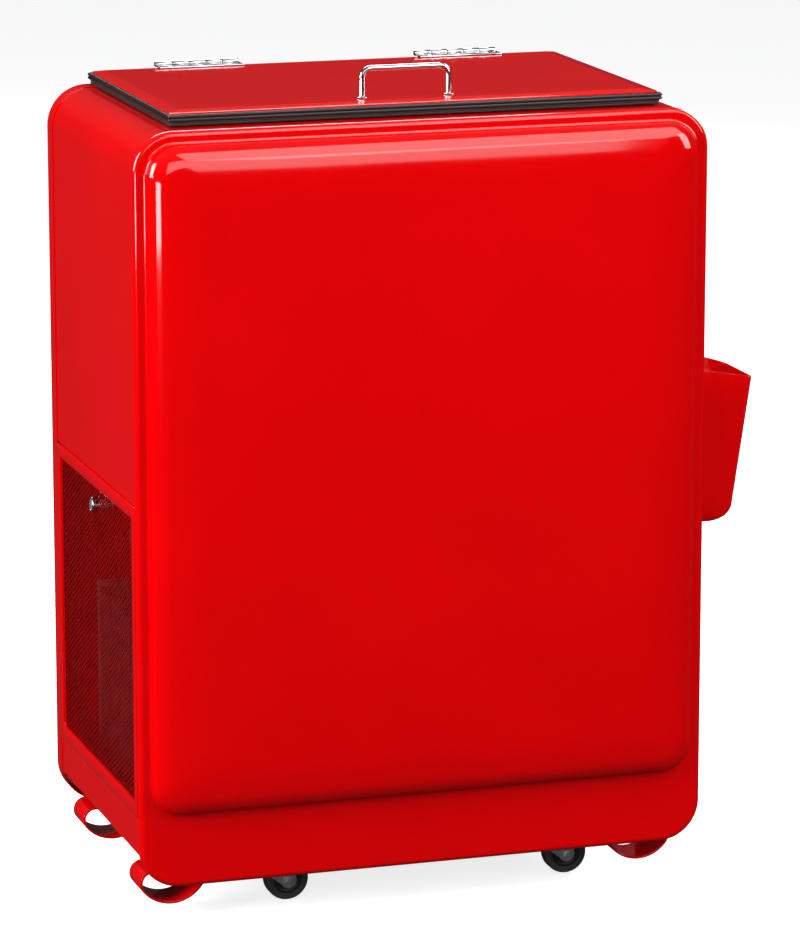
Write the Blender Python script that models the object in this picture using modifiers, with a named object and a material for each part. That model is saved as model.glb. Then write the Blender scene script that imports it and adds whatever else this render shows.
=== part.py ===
"""Chest cooler on swivel casters: an enamelled steel case with a hinged insulated lid and a deep tub,
a condensing unit behind a tilting mesh panel on the left, and a cap bin with a bottle opener on the right.

Metres, +Z up, +X to the right of someone who faces the front, +Y towards the back. Each piece is built with
x = 0 on the middle of the case, y = 0 on the front panel's rim and z = 0 on the floor. At the end everything
is shifted so that the origin lies on the floor under the middle of the whole object.
"""

from math import asin, cos, pi, radians, sin, sqrt

import bmesh
import bpy
from mathutils import Matrix, Vector

MM = 0.001
GAP = 0.3 * MM  # between pieces that touch on the real object
SHEET = 1.2 * MM  # enamelled steel sheet

# The case
HALF_W = 336.0 * MM
DEPTH = 396.0 * MM
CASE_LOW = 54.5 * MM
CASE_HIGH = 914.0 * MM
CORNER_R = 47.0 * MM
EDGE_R = 6.0 * MM
FRONT_FLANGE = 8.0 * MM
REAR_FLANGE = 28.0 * MM
WRAP_INSET = 1.0 * MM  # the wrapper lies this far inside the two panels' outline
SIDE_LOW = 92.5 * MM  # bottom edge of the side sheets
WRAP_FRONT = FRONT_FLANGE + GAP
WRAP_BACK = DEPTH - REAR_FLANGE - GAP
WRAP_HALF = HALF_W - WRAP_INSET
DECK_Z = CASE_HIGH - WRAP_INSET

# The raised pillow of the front panel
PILLOW_HALF = 323.0 * MM
PILLOW_LOW = 139.0 * MM
PILLOW_HIGH = 901.0 * MM
PILLOW_R = 36.0 * MM
PILLOW_PROUD = 22.0 * MM
PILLOW_ROLL = 22.0 * MM
PILLOW_CROWN = 2.0 * MM

# The tilting mesh panel on the left, and the sill under it
SILL_HIGH = 134.3 * MM
VENT_LOW = 134.9 * MM
VENT_HIGH = 495.0 * MM
VENT_FRONT = 10.0 * MM
VENT_BACK = 367.0 * MM
VENT_FACE = -336.8 * MM
VENT_DEPTH = 10.0 * MM
WINDOW = (22.0 * MM, 354.0 * MM, 153.5 * MM, 480.0 * MM)  # y low, y high, z low, z high
VENT_TAB_Y = (90.0 * MM, 290.0 * MM)
LOCK_Y = DEPTH / 2
LOCK_Z = 457.5 * MM
LOCK_FRONT = -338.5 * MM
CAM_REACH = 48.0 * MM

# The opening, tub and lid
OPENING = (262.0 * MM, 50.0 * MM, 352.0 * MM, 20.0 * MM)  # half width, y low, y high, corner radius
TUB_FLOOR = 560.0 * MM
TUB_SHEET = 1.5 * MM
FOAM_LOW = 510.0 * MM
LID_HALF = 289.5 * MM
LID_FRONT = 31.0 * MM
LID_BACK = 393.0 * MM
LID_X = 2.5 * MM  # the lid sits this far to the right of the case's middle
GASKET_LOW = CASE_HIGH + GAP
LID_FRAME_LOW = 919.7 * MM
LID_FRAME_HIGH = 927.0 * MM
LID_TOP = 930.7 * MM
HINGE_Y = 393.5 * MM
HINGE_Z = 933.0 * MM
HINGE_X = (-154.8 * MM, 163.6 * MM)
HINGE_LENGTH = 101.6 * MM
BARREL_R = 3.3 * MM
LEAF = 1.5 * MM
HANDLE_SPAN = 101.6 * MM
HANDLE_X = -2.0 * MM
HANDLE_Y = 70.0 * MM
HANDLE_RISE = 33.4 * MM
HANDLE_WIRE_R = 3.25 * MM

# The undercarriage
PAN_LOW = 60.6 * MM
PAN_HALF = 300.0 * MM
STRAP = 3.0 * MM
FOOT_WIDTH = 50.0 * MM
FOOT_FRONT = 51.0 * MM
FOOT_REAR = 316.0 * MM
FOOT_X = 3.0 * MM  # how far the feet sit to the left
WHEEL_R = 25.4 * MM
WHEEL_HALF = 10.3 * MM
CASTER_X = 170.3 * MM
CASTER_Y = 92.5 * MM
TRAIL = 30.5 * MM
FORK_TOP = 55.0 * MM
FORK_LEG = 12.0 * MM  # from the wheel's middle to the leg's inner face
FORK_SHEET = 2.0 * MM

# The condensing unit
FAN_Y = DEPTH / 2
FAN_Z = 195.0 * MM
FAN_R = 98.0 * MM
KNOB_Y = 95.0 * MM
KNOB_Z = 440.0 * MM
COMPRESSOR = (130.0 * MM, DEPTH / 2)
DRAIN = (-200.0 * MM, 110.0 * MM)
DRAIN_RUN_Z = 430.0 * MM
GLAND = (250.0 * MM, 120.0 * MM)

# The cap bin on the right side
BIN_BACK = WRAP_HALF + GAP
BIN_FRONT_Y = 41.0 * MM
BIN_BACK_Y = 160.0 * MM
BIN_RIM = 590.5 * MM
BIN_REACH = 411.5 * MM
BIN_TAPER = 0.15  # inwards per unit of height
BIN_RIM_SLOPE = 0.19

COLOURS = {
    "red": ((0.62, 0.008, 0.012), 0.18, 0.0),
    "black": ((0.02, 0.02, 0.022), 0.5, 0.0),
    "chrome": ((0.8, 0.8, 0.82), 0.12, 1.0),
    "zinc": ((0.55, 0.56, 0.58), 0.35, 1.0),
    "white": ((0.75, 0.76, 0.77), 0.35, 0.0),
    "rubber": ((0.03, 0.028, 0.027), 0.75, 0.0),
    "foam": ((0.65, 0.55, 0.3), 0.9, 0.0),
    "mesh": ((0.2, 0.005, 0.006), 0.35, 0.0),
    "galvanised": ((0.5, 0.52, 0.54), 0.4, 1.0),
}

for old in list(bpy.data.objects):
    bpy.data.objects.remove(old)
parts = bpy.data.collections.new("chest_cooler")
cutters = bpy.data.collections.new("cutters")
for collection in (parts, cutters):
    bpy.context.scene.collection.children.link(collection)


# Helpers


def finish(name, mesh, colour, smooth=30):
    """A part: an object of its own with a material of its own, its flat faces kept flat."""
    rgb, roughness, metallic = COLOURS[colour]
    material = bpy.data.materials.new(name)
    material.use_nodes = True
    shader = material.node_tree.nodes["Principled BSDF"]
    shader.inputs["Base Color"].default_value = (*rgb, 1)
    shader.inputs["Roughness"].default_value = roughness
    shader.inputs["Metallic"].default_value = metallic
    if smooth:
        mesh.shade_smooth()
        mesh.set_sharp_from_angle(angle=radians(smooth))
    obj = bpy.data.objects.new(name, mesh)
    obj.data.materials.append(material)
    parts.objects.link(obj)
    return obj


def helper(mesh, name="cutter"):
    """An object that only cuts or joins another."""
    obj = bpy.data.objects.new(name, mesh)
    obj.hide_render = True
    obj.display_type = "WIRE"
    cutters.objects.link(obj)
    return obj


def to_mesh(bm, name="shape"):
    mesh = bpy.data.meshes.new(name)
    bm.to_mesh(mesh)
    bm.free()
    return mesh


def box(low, high):
    """A block between two corners."""
    bm = bmesh.new()
    size = [b - a for a, b in zip(low, high)]
    middle = [(a + b) / 2 for a, b in zip(low, high)]
    bmesh.ops.create_cube(bm, size=1, matrix=Matrix.Translation(middle) @ Matrix.Diagonal((*size, 1)))
    return to_mesh(bm)


TURN_TO = {"x": Matrix.Rotation(pi / 2, 4, "Y"), "y": Matrix.Rotation(-pi / 2, 4, "X"), "z": Matrix.Identity(4)}


def rod(radius, start, length, axis="z", segments=24, end_radius=None):
    """A cylinder or cone that starts at a point and runs along an axis."""
    bm = bmesh.new()
    matrix = Matrix.Translation(start) @ TURN_TO[axis] @ Matrix.Translation((0, 0, length / 2))
    bmesh.ops.create_cone(
        bm,
        cap_ends=True,
        segments=segments,
        radius1=radius,
        radius2=radius if end_radius is None else end_radius,
        depth=length,
        matrix=matrix,
    )
    return to_mesh(bm)


def turned(profile, start, axis="z", steps=28):
    """A closed (radius, height) outline turned about an axis through a point."""
    bm = bmesh.new()
    verts = [bm.verts.new((r, 0, h)) for r, h in profile]
    for a, b in zip(verts, verts[1:] + verts[:1]):
        bm.edges.new((a, b))
    obj = helper(to_mesh(bm), "turned")
    screw = obj.modifiers.new("turn", "SCREW")
    screw.steps = steps
    screw.render_steps = steps
    screw.use_merge_vertices = True
    screw.merge_threshold = 1e-5
    mesh = baked(obj)
    mesh.transform(Matrix.Translation(start) @ TURN_TO[axis])
    return mesh


def baked(obj):
    """The object's mesh with its modifiers applied. The object is removed."""
    graph = bpy.context.evaluated_depsgraph_get()
    mesh = bpy.data.meshes.new_from_object(obj.evaluated_get(graph))
    bpy.data.objects.remove(obj)
    return mesh


def boolean(obj, operation, *meshes):
    """Cuts or joins other meshes, each with its own live modifier."""
    for mesh in meshes:
        modifier = obj.modifiers.new(operation.lower(), "BOOLEAN")
        modifier.operation = operation
        modifier.object = helper(mesh, f"{obj.name}_{operation.lower()}")
    return obj


def joined(first, *others):
    """One mesh that is the union of several solids."""
    base = helper(first)
    boolean(base, "UNION", *others)
    return baked(base)


def solidify(obj, thickness, offset):
    """Offset -1 puts the thickness behind the faces, 1 in front of them."""
    modifier = obj.modifiers.new("sheet", "SOLIDIFY")
    modifier.thickness = thickness
    modifier.offset = offset
    modifier.use_even_offset = True
    return obj


def arc(centre, radius, start, end, steps):
    """Points of an arc, angles in degrees."""
    angles = [radians(start + (end - start) * k / steps) for k in range(steps + 1)]
    return [(centre[0] + radius * cos(a), centre[1] + radius * sin(a)) for a in angles]


def rounded(u_low, u_high, v_low, v_high, radius, steps=5):
    """A rectangle with round corners, anticlockwise from u towards v."""
    points = []
    for u, v, start in (
        (u_high - radius, v_low + radius, -90),
        (u_high - radius, v_high - radius, 0),
        (u_low + radius, v_high - radius, 90),
        (u_low + radius, v_low + radius, 180),
    ):
        points += arc((u, v), radius, start, start + 90, steps)
    return points


def loft(rings, start_cap=False, end_cap=False, closed=False):
    """A skin over rings of equal length. It faces out where each ring turns right-handed about the way it goes."""
    bm = bmesh.new()
    rows = [[bm.verts.new(p) for p in ring] for ring in rings]
    pairs = list(zip(rows, rows[1:] + rows[:1])) if closed else list(zip(rows, rows[1:]))
    for row, after in pairs:
        for k in range(len(row)):
            n = (k + 1) % len(row)
            bm.faces.new((row[k], row[n], after[n], after[k]))
    if start_cap:
        bm.faces.new(rows[0][::-1])
    if end_cap:
        bm.faces.new(rows[-1])
    return to_mesh(bm)


def flat_ring(half, y_low, y_high, radius, z, steps=5):
    """A level rounded rectangle that turns right-handed about +Z."""
    return [(x, y, z) for x, y in rounded(-half, half, y_low, y_high, radius, steps)]


def band(half, y_low, y_high, radius, section):
    """A closed frame: its section's points are (outset, z) from inner bottom through outer bottom and top."""
    return loft(
        [flat_ring(half + s, y_low - s, y_high + s, radius + s, z) for s, z in section],
        closed=True,
    )


def strip(path, plane, start, end):
    """A path in a plane drawn out along the third axis. It faces the path's left, seen along that axis."""
    place = {"xz": lambda p, w: (p[0], w, p[1]), "yz": lambda p, w: (w, p[0], p[1])}[plane]
    bm = bmesh.new()
    rows = [[bm.verts.new(place(p, w)) for p in path] for w in (start, end)]
    for k in range(len(path) - 1):
        bm.faces.new((rows[0][k], rows[0][k + 1], rows[1][k + 1], rows[1][k]))
    return to_mesh(bm)


def plate(outline, thickness, matrix):
    """A flat outline as thick as said, centred on its plane and then placed by the matrix."""
    curve = bpy.data.curves.new("outline", "CURVE")
    curve.dimensions = "2D"
    curve.fill_mode = "BOTH"
    curve.extrude = thickness / 2
    spline = curve.splines.new("POLY")
    spline.points.add(len(outline) - 1)
    for point, (u, v) in zip(spline.points, outline):
        point.co = (u, v, 0, 1)
    spline.use_cyclic_u = True
    obj = bpy.data.objects.new("outline", curve)
    cutters.objects.link(obj)
    bm = bmesh.new()
    bm.from_mesh(baked(obj))
    bmesh.ops.remove_doubles(bm, verts=bm.verts, dist=1e-6)
    bmesh.ops.recalc_face_normals(bm, faces=bm.faces)
    bm.transform(matrix)
    return to_mesh(bm)


def tube(points, radius, sides=2, caps=True):
    """A round wire along points. Sides is the bevel resolution: 2 gives 8 sides, 4 gives 12."""
    curve = bpy.data.curves.new("wire", "CURVE")
    curve.dimensions = "3D"
    curve.bevel_depth = radius
    curve.bevel_resolution = sides
    curve.use_fill_caps = caps
    spline = curve.splines.new("POLY")
    spline.points.add(len(points) - 1)
    for point, place in zip(spline.points, points):
        point.co = (*place, 1)
    obj = bpy.data.objects.new("wire", curve)
    cutters.objects.link(obj)
    bm = bmesh.new()
    bm.from_mesh(baked(obj))
    bmesh.ops.remove_doubles(bm, verts=bm.verts, dist=1e-6)
    return to_mesh(bm)


def turning(obj, pivot):
    """Moves the object's origin to its joint's axis and leaves the shape where it is."""
    obj.data.transform(Matrix.Translation(-Vector(pivot)))
    obj.location = pivot
    return obj


# The case


def panel_ring(inset, y, outward):
    """The case's outline in a plane of equal y. Outward is -1 for the front panel and 1 for the rear one."""
    outline = rounded(
        -HALF_W + inset, HALF_W - inset, CASE_LOW + inset, CASE_HIGH - inset, CORNER_R - inset, 5
    )
    return [(x, y, z) for x, z in (outline if outward < 0 else outline[::-1])]


def pillow_ring(inset, y, radius):
    outline = rounded(
        -PILLOW_HALF + inset, PILLOW_HALF - inset, PILLOW_LOW + inset, PILLOW_HIGH - inset, radius, 5
    )
    return [(x, y, z) for x, z in outline]


def edge_profile(steps=2):
    """(inset, distance behind the face) round the pressed outer edge."""
    return [
        (EDGE_R * (1 - cos(radians(90 * k / steps))), EDGE_R * (1 - sin(radians(90 * k / steps))))
        for k in range(steps + 1)
    ]


def front_panel():
    rings = [panel_ring(0, FRONT_FLANGE, -1)]
    rings += [panel_ring(inset, depth, -1) for inset, depth in edge_profile()]
    foot = 2 * MM
    rings += [pillow_ring(0, 0, PILLOW_R), pillow_ring(foot * 0.6, -foot * 0.4, PILLOW_R)]
    for k in range(4):
        turn = radians(90 * k / 3)
        inset = foot + PILLOW_ROLL * (1 - cos(turn))
        rings.append(pillow_ring(inset, -foot - (PILLOW_PROUD - foot) * sin(turn), PILLOW_R - inset / 2))
    rings.append(pillow_ring(75 * MM, -PILLOW_PROUD - PILLOW_CROWN * 0.6, 40 * MM))
    rings.append(pillow_ring(170 * MM, -PILLOW_PROUD - PILLOW_CROWN, 60 * MM))
    solidify(finish("front_panel", loft(rings, end_cap=True), "red"), SHEET, -1)


def rear_panel():
    rings = [panel_ring(0, DEPTH - REAR_FLANGE, 1)]
    rings += [panel_ring(inset, DEPTH - depth, 1) for inset, depth in edge_profile()]
    panel = solidify(finish("rear_panel", loft(rings, end_cap=True), "red"), SHEET, -1)
    gland_hole = rod(8 * MM, (GLAND[0], DEPTH - 20 * MM, GLAND[1]), 40 * MM, "y")
    drain_hole = rod(12.4 * MM, (DRAIN[0], DEPTH - 20 * MM, DRAIN_RUN_Z), 40 * MM, "y")
    boolean(panel, "DIFFERENCE", gland_hole, drain_hole)


def body_wrapper():
    """Left side above the vent, deck and right side, bent from one sheet, with a strike lip for the lock."""
    arc_r = CORNER_R - WRAP_INSET
    middle = HALF_W - CORNER_R
    height = CASE_HIGH - CORNER_R
    low_left = VENT_HIGH + 0.6 * MM
    path = [(-WRAP_HALF + 14 * MM, low_left), (-WRAP_HALF, low_left)]
    path += arc((-middle, height), arc_r, 180, 90, 5)
    path += arc((middle, height), arc_r, 90, 0, 5)
    path.append((WRAP_HALF, SIDE_LOW))
    wrapper = finish("body_wrapper", strip(path, "xz", WRAP_FRONT, WRAP_BACK), "red")
    solidify(wrapper, SHEET, -1)
    half, low, high, radius = OPENING
    hole = loft(
        [flat_ring(half, low, high, radius, z) for z in (DECK_Z - 20 * MM, DECK_Z + 20 * MM)], True, True
    )
    boolean(wrapper, "DIFFERENCE", hole)


def left_sill_panel():
    lip = WRAP_HALF - 19 * MM
    path = [(-lip, SIDE_LOW), (-WRAP_HALF, SIDE_LOW), (-WRAP_HALF, SILL_HIGH), (-lip, SILL_HIGH)]
    sill = finish("left_sill_panel", strip(path, "xz", WRAP_FRONT, WRAP_BACK), "red")
    solidify(sill, SHEET, -1)
    slots = [
        box((-331.5 * MM, y - 12 * MM, SILL_HIGH - 5 * MM), (-325 * MM, y + 12 * MM, SILL_HIGH + 5 * MM))
        for y in VENT_TAB_Y
    ]
    boolean(sill, "DIFFERENCE", *slots)


def base_pan():
    rise = PAN_LOW + 60 * MM
    path = [(PAN_HALF, rise), (PAN_HALF, PAN_LOW), (-PAN_HALF, PAN_LOW), (-PAN_HALF, rise)]
    pan = finish("base_pan", strip(path, "xz", 2.5 * MM, DEPTH - 2.5 * MM), "galvanised")
    solidify(pan, 1.5 * MM, -1)


# The tub and its insulation


def tub_rings(outset, top):
    """The tub's wall from its mouth to its floor, right-handed about -Z."""
    sizes = [
        (250.0, 62.0, 340.0, 18.0, top),
        (240.0, 70.0, 332.0, 26.0, TUB_FLOOR + 12 * MM - outset * 0.4),
        (236.5, 73.5, 328.5, 24.0, TUB_FLOOR + 3.5 * MM - outset * 0.8),
        (228.0, 82.0, 320.0, 20.0, TUB_FLOOR - outset),
    ]
    return [
        flat_ring(half * MM + outset, low * MM - outset, high * MM + outset, radius * MM + outset, z)[::-1]
        for half, low, high, radius, z in sizes
    ]


def tub():
    mouth = 906.6 * MM
    rings = [
        flat_ring(261 * MM, 51 * MM, 351 * MM, 20 * MM, mouth)[::-1],
        flat_ring(252 * MM, 60 * MM, 342 * MM, 19 * MM, mouth)[::-1],
    ]
    rings += tub_rings(0, mouth - 3 * MM)
    liner = solidify(finish("inner_liner", loft(rings, end_cap=True), "white"), TUB_SHEET, 1)
    boolean(liner, "DIFFERENCE", rod(13 * MM, (*DRAIN, TUB_FLOOR - 10 * MM), 20 * MM))
    foam_r = 42 * MM
    half, high = 331.5 * MM, 904.7 * MM
    outline = [(half, FOAM_LOW), *arc((half - foam_r, high - foam_r), foam_r, 0, 90, 5)]
    outline += [(-x, z) for x, z in outline[::-1]]
    ends = [[(x, y, z) for x, z in outline[::-1]] for y in (12 * MM, 386 * MM)]
    foam = finish("insulation", loft(ends, True, True), "foam")
    hollow = loft(tub_rings(3.6 * MM, high + 10 * MM), True, True)
    boolean(foam, "DIFFERENCE", hollow, rod(12.4 * MM, (*DRAIN, FOAM_LOW - 10 * MM), 60 * MM))
    throat = [(0, 907.2 * MM), (7.2 * MM, 907.2 * MM), (7.2 * MM, DECK_Z), (0, DECK_Z)]
    finish("throat_frame", band(254.3 * MM, 57.7 * MM, 344.3 * MM, 12 * MM, throat), "black")


def drain():
    """A push-in plug in the tub's floor, and the pipe that leads from it out of the rear panel."""
    plug = [(17, 3), (17, 0), (12.5, 0), (11.5, -7), (0, -7), (0, 4), (15, 4)]
    profile = [(r * MM, h * MM) for r, h in plug]
    finish("drain_plug", turned(profile, (*DRAIN, TUB_FLOOR + GAP), steps=20), "rubber")
    bend = 35 * MM
    elbow = arc((DRAIN[1] + bend, DRAIN_RUN_Z + bend), bend, 180, 270, 5)
    route = [(DRAIN[1], TUB_FLOOR - 8 * MM), *elbow, (DEPTH + 1 * MM, DRAIN_RUN_Z)]
    pipe = tube([(DRAIN[0], y, z) for y, z in route], 12 * MM, sides=3, caps=False)
    solidify(finish("drain_pipe", pipe, "white"), 1.6 * MM, -1)


# The lid


def lid():
    gasket = [(0, 0), (12, 0), (12.4, 1.4), (11.4, 2.4), (12.4, 3.4), (12, 5.1), (0, 5.1)]
    section = [(s * MM, GASKET_LOW + z * MM) for s, z in gasket]
    pieces = [finish("lid_gasket", band(274.5 * MM, 46 * MM, 379 * MM, 3 * MM, section), "rubber")]
    high = LID_FRAME_HIGH - LID_FRAME_LOW
    edge = [(0, 0), (13, 0), (14.2, 0.2 * high / MM), (14.5, 0.5 * high / MM), (14, high / MM), (0, high / MM)]
    section = [(s * MM, LID_FRAME_LOW + z * MM) for s, z in edge]
    inner = LID_HALF - 14.5 * MM
    frame = band(inner, LID_FRONT + 14.5 * MM, LID_BACK - 14.5 * MM, 2 * MM, section)
    pieces.append(finish("lid_frame", frame, "black"))
    shell = [
        flat_ring(LID_HALF - 3.5 * MM, LID_FRONT + 3.5 * MM, LID_BACK - 3.5 * MM, 5 * MM, LID_FRAME_HIGH + z)
        for z in (0.4 * MM, 1.2 * MM)
    ]
    shell.append(flat_ring(LID_HALF - 17 * MM, LID_FRONT + 19 * MM, LID_BACK - 14 * MM, 3 * MM, LID_TOP))
    pieces.append(solidify(finish("lid_shell", loft(shell, end_cap=True), "red"), 1 * MM, -1))
    core = [
        flat_ring(240 * MM, 70 * MM, 332 * MM, 14 * MM, 897 * MM),
        flat_ring(244 * MM, 66 * MM, 336 * MM, 17 * MM, 901 * MM),
        flat_ring(244 * MM, 66 * MM, 336 * MM, 17 * MM, LID_FRAME_LOW),
        flat_ring(274.5 * MM, 46 * MM, 378 * MM, 2 * MM, LID_FRAME_LOW),
        flat_ring(274.5 * MM, 46 * MM, 378 * MM, 2 * MM, LID_FRAME_HIGH - 0.2 * MM),
    ]
    pieces.append(finish("lid_liner", loft(core, True, True), "white"))
    bar = LID_TOP + HANDLE_RISE
    bend = 11 * MM
    reach = HANDLE_SPAN / 2
    path = [(-reach, LID_TOP + GAP)]
    path += arc((-reach + bend, bar - bend), bend, 180, 90, 5)
    path += [(-x, z) for x, z in path[::-1]]
    wire = tube([(x + HANDLE_X, HANDLE_Y, z) for x, z in path], HANDLE_WIRE_R)
    pieces.append(finish("lid_handle", wire, "chrome"))
    for piece in pieces:
        middle = 0 if piece.name == "lid_handle" else LID_X
        piece.data.transform(Matrix.Translation((middle, 0, 0)))
        turning(piece, (0, HINGE_Y, HINGE_Z))


def knuckles(numbers):
    """The barrel pieces of one leaf, of the five along a hinge, as (start, end) in x."""
    pitch = HINGE_LENGTH / 5
    return [(-HINGE_LENGTH / 2 + n * pitch + 0.2 * MM, -HINGE_LENGTH / 2 + (n + 1) * pitch - 0.2 * MM) for n in numbers]


def hinges():
    half = HINGE_LENGTH / 2
    bore = rod(1.5 * MM, (-half - 5 * MM, HINGE_Y, HINGE_Z), HINGE_LENGTH + 10 * MM, "x", 12)
    low = LID_TOP + GAP
    flat = box((-half, HINGE_Y - 26 * MM, low), (half, HINGE_Y - BARREL_R - 0.4 * MM, low + LEAF))
    lid_leaf = [flat]
    for start, end in knuckles((0, 2, 4)):
        lid_leaf.append(box((start, HINGE_Y - 5 * MM, low), (end, HINGE_Y, low + LEAF)))
        lid_leaf.append(rod(BARREL_R, (start, HINGE_Y, HINGE_Z), end - start, "x", 12))
    back = DEPTH + 1.2 * MM
    front = HINGE_Y + 2.05 * MM
    bent = [(front, 928.9 * MM), (front, 919.5 * MM), (back, 914 * MM), (back, 884 * MM)]
    body_leaf = [baked(solidify(helper(strip(bent, "yz", -half, half)), LEAF, 0))]
    for start, end in knuckles((1, 3)):
        body_leaf.append(box((start, front - LEAF / 2, 925 * MM), (end, front + LEAF / 2, HINGE_Z)))
        body_leaf.append(rod(BARREL_R, (start, HINGE_Y, HINGE_Z), end - start, "x", 12))
    lid_mesh, body_mesh = (
        baked(boolean(helper(joined(*pieces)), "DIFFERENCE", bore.copy())) for pieces in (lid_leaf, body_leaf)
    )
    pin_mesh = rod(1.2 * MM, (-half, HINGE_Y, HINGE_Z), HINGE_LENGTH, "x", 12)
    for mesh in (lid_mesh, body_mesh, pin_mesh):
        mesh.transform(Matrix.Translation((0, -HINGE_Y, -HINGE_Z)))
    for side, x in zip(("left", "right"), HINGE_X):
        for name, mesh in (("lid_leaf", lid_mesh), ("body_leaf", body_mesh), ("pin", pin_mesh)):
            piece = finish(f"{side}_hinge_{name}", mesh.copy(), "chrome")
            piece.location = (x, HINGE_Y, HINGE_Z)


# The mesh panel and its lock


def side_ring(y_low, y_high, z_low, z_high, radius, x):
    """An upright rounded rectangle that turns right-handed about +X."""
    return [(x, y, z) for y, z in rounded(y_low, y_high, z_low, z_high, radius, 2)]


def vent():
    rings = [
        side_ring(*WINDOW, 4 * MM, VENT_FACE + 4 * MM),
        side_ring(*WINDOW, 4 * MM, VENT_FACE),
        side_ring(VENT_FRONT, VENT_BACK, VENT_LOW, VENT_HIGH, 3 * MM, VENT_FACE),
        side_ring(VENT_FRONT, VENT_BACK, VENT_LOW, VENT_HIGH, 3 * MM, VENT_FACE + VENT_DEPTH),
    ]
    frame = baked(solidify(helper(loft(rings)), SHEET, -1))
    tabs = [
        box((-330.6 * MM, y - 10 * MM, VENT_LOW - 6 * MM), (-329.4 * MM, y + 10 * MM, VENT_LOW + 1 * MM))
        for y in VENT_TAB_Y
    ]
    pivot = (VENT_FACE, DEPTH / 2, VENT_LOW)
    turning(finish("vent_frame", joined(frame, *tabs), "red"), pivot)
    back = VENT_FACE + 4 * MM + GAP
    sheet = helper(box((back, 13.5 * MM, 139.5 * MM), (back + SHEET, 365.5 * MM, 488.5 * MM)))
    boolean(sheet, "DIFFERENCE", rod(9.3 * MM, (-340 * MM, LOCK_Y, LOCK_Z), 20 * MM, "x"))
    turning(finish("vent_mesh", baked(sheet), "mesh"), pivot)
    barrel = [(8.8, 0), (8.8, 11.5), (12, 11.5), (12, 14.5), (8.8, 14.5), (8.8, 22.5), (6.9, 22.5), (6.9, 0)]
    profile = [(r * MM, h * MM) for r, h in barrel[::-1]]
    housing = turned(profile, (LOCK_FRONT, LOCK_Y, LOCK_Z), "x", 20)
    turning(finish("lock_housing", housing, "chrome"), pivot)


def lock():
    """The key cylinder with its slot, and the cam behind the mesh. At rest the cam lies level, unlocked."""
    pivot = (0, LOCK_Y, LOCK_Z)
    start = LOCK_FRONT + 0.5 * MM
    plug = helper(rod(6.6 * MM, (start, LOCK_Y, LOCK_Z), 22.3 * MM, "x"))
    slot = box(
        (start - 1 * MM, LOCK_Y - 1.2 * MM, LOCK_Z - 5.5 * MM), (start + 2.5 * MM, LOCK_Y + 1.2 * MM, LOCK_Z + 5.5 * MM)
    )
    boolean(plug, "DIFFERENCE", slot)
    turning(finish("lock_cylinder", baked(plug), "zinc"), pivot)
    tip = CAM_REACH - 5 * MM
    outline = arc((0, 0), 8 * MM, 90, 270, 6) + arc((tip, 0), 5 * MM, -90, 90, 5)
    x = start + 22.3 * MM + GAP + 1 * MM
    basis = Matrix(((0, 0, 1, x), (1, 0, 0, LOCK_Y), (0, 1, 0, LOCK_Z), (0, 0, 0, 1)))
    turning(finish("lock_cam", plate(outline, 2 * MM, basis), "zinc"), pivot)


# The condensing unit


def condensing_unit():
    floor = PAN_LOW + 1.5 * MM + GAP
    x, y = COMPRESSOR
    dome = [(0, 160), (35, 156), (58, 144), (70, 122), (70, 38), (60, 16), (40, 4), (0, 0)]
    pot = turned([(r * MM, h * MM) for r, h in dome], (x, y, 75 * MM), steps=18)
    base = box((x - 100 * MM, y - 60 * MM, 73 * MM), (x + 100 * MM, y + 60 * MM, 80 * MM))
    mounts = [
        rod(11 * MM, (x + i * 84 * MM, y + j * 46 * MM, floor), 74 * MM - floor, segments=12)
        for i in (-1, 1)
        for j in (-1, 1)
    ]
    finish("compressor", joined(pot, base, *mounts), "black")
    finish("condenser", box((-295 * MM, 50 * MM, floor), (-256 * MM, 348 * MM, 330 * MM)), "galvanised")
    face = -255.5 * MM
    collar = [(106, 1), (106, 30), (103.5, 30), (103.5, 1)]
    ring = turned([(r * MM, h * MM) for r, h in collar[::-1]], (face, FAN_Y, FAN_Z), "x", 28)
    sheet = box((face, 60 * MM, floor), (face + 2 * MM, 338 * MM, 320 * MM))
    shroud = helper(joined(sheet, ring))
    boolean(shroud, "DIFFERENCE", rod(103.6 * MM, (face - 5 * MM, FAN_Y, FAN_Z), 20 * MM, "x", 28))
    finish("fan_shroud", baked(shroud), "galvanised")
    motor = rod(30 * MM, (-215 * MM, FAN_Y, FAN_Z), 46 * MM, "x")
    shaft = rod(3 * MM, (-242 * MM, FAN_Y, FAN_Z), 30 * MM, "x", 12)
    stand = box((-200 * MM, FAN_Y - 25 * MM, floor), (-194 * MM, FAN_Y + 25 * MM, FAN_Z - 20 * MM))
    foot = box((-200 * MM, FAN_Y - 25 * MM, floor), (-165 * MM, FAN_Y + 25 * MM, floor + 2 * MM))
    finish("fan_motor", joined(motor, shaft, stand, foot), "black")
    fan_rotor()
    low = (-300 * MM, 55 * MM, 395 * MM)
    high = (-240 * MM, 135 * MM, FOAM_LOW - GAP)
    control = finish("control_box", box(low, high), "galvanised", 0)
    boolean(control, "DIFFERENCE", rod(3.4 * MM, (-310 * MM, KNOB_Y, KNOB_Z), 25 * MM, "x", 16))
    knob = [(0, 0), (12, 0), (14, 3), (14, 16), (3, 16), (3, 26), (0, 26)]
    profile = [(r * MM, h * MM) for r, h in knob[::-1]]
    grip = turned(profile, (-317 * MM, KNOB_Y, KNOB_Z), "x", 20)
    turning(finish("thermostat_knob", grip, "black"), (0, KNOB_Y, KNOB_Z))


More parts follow.
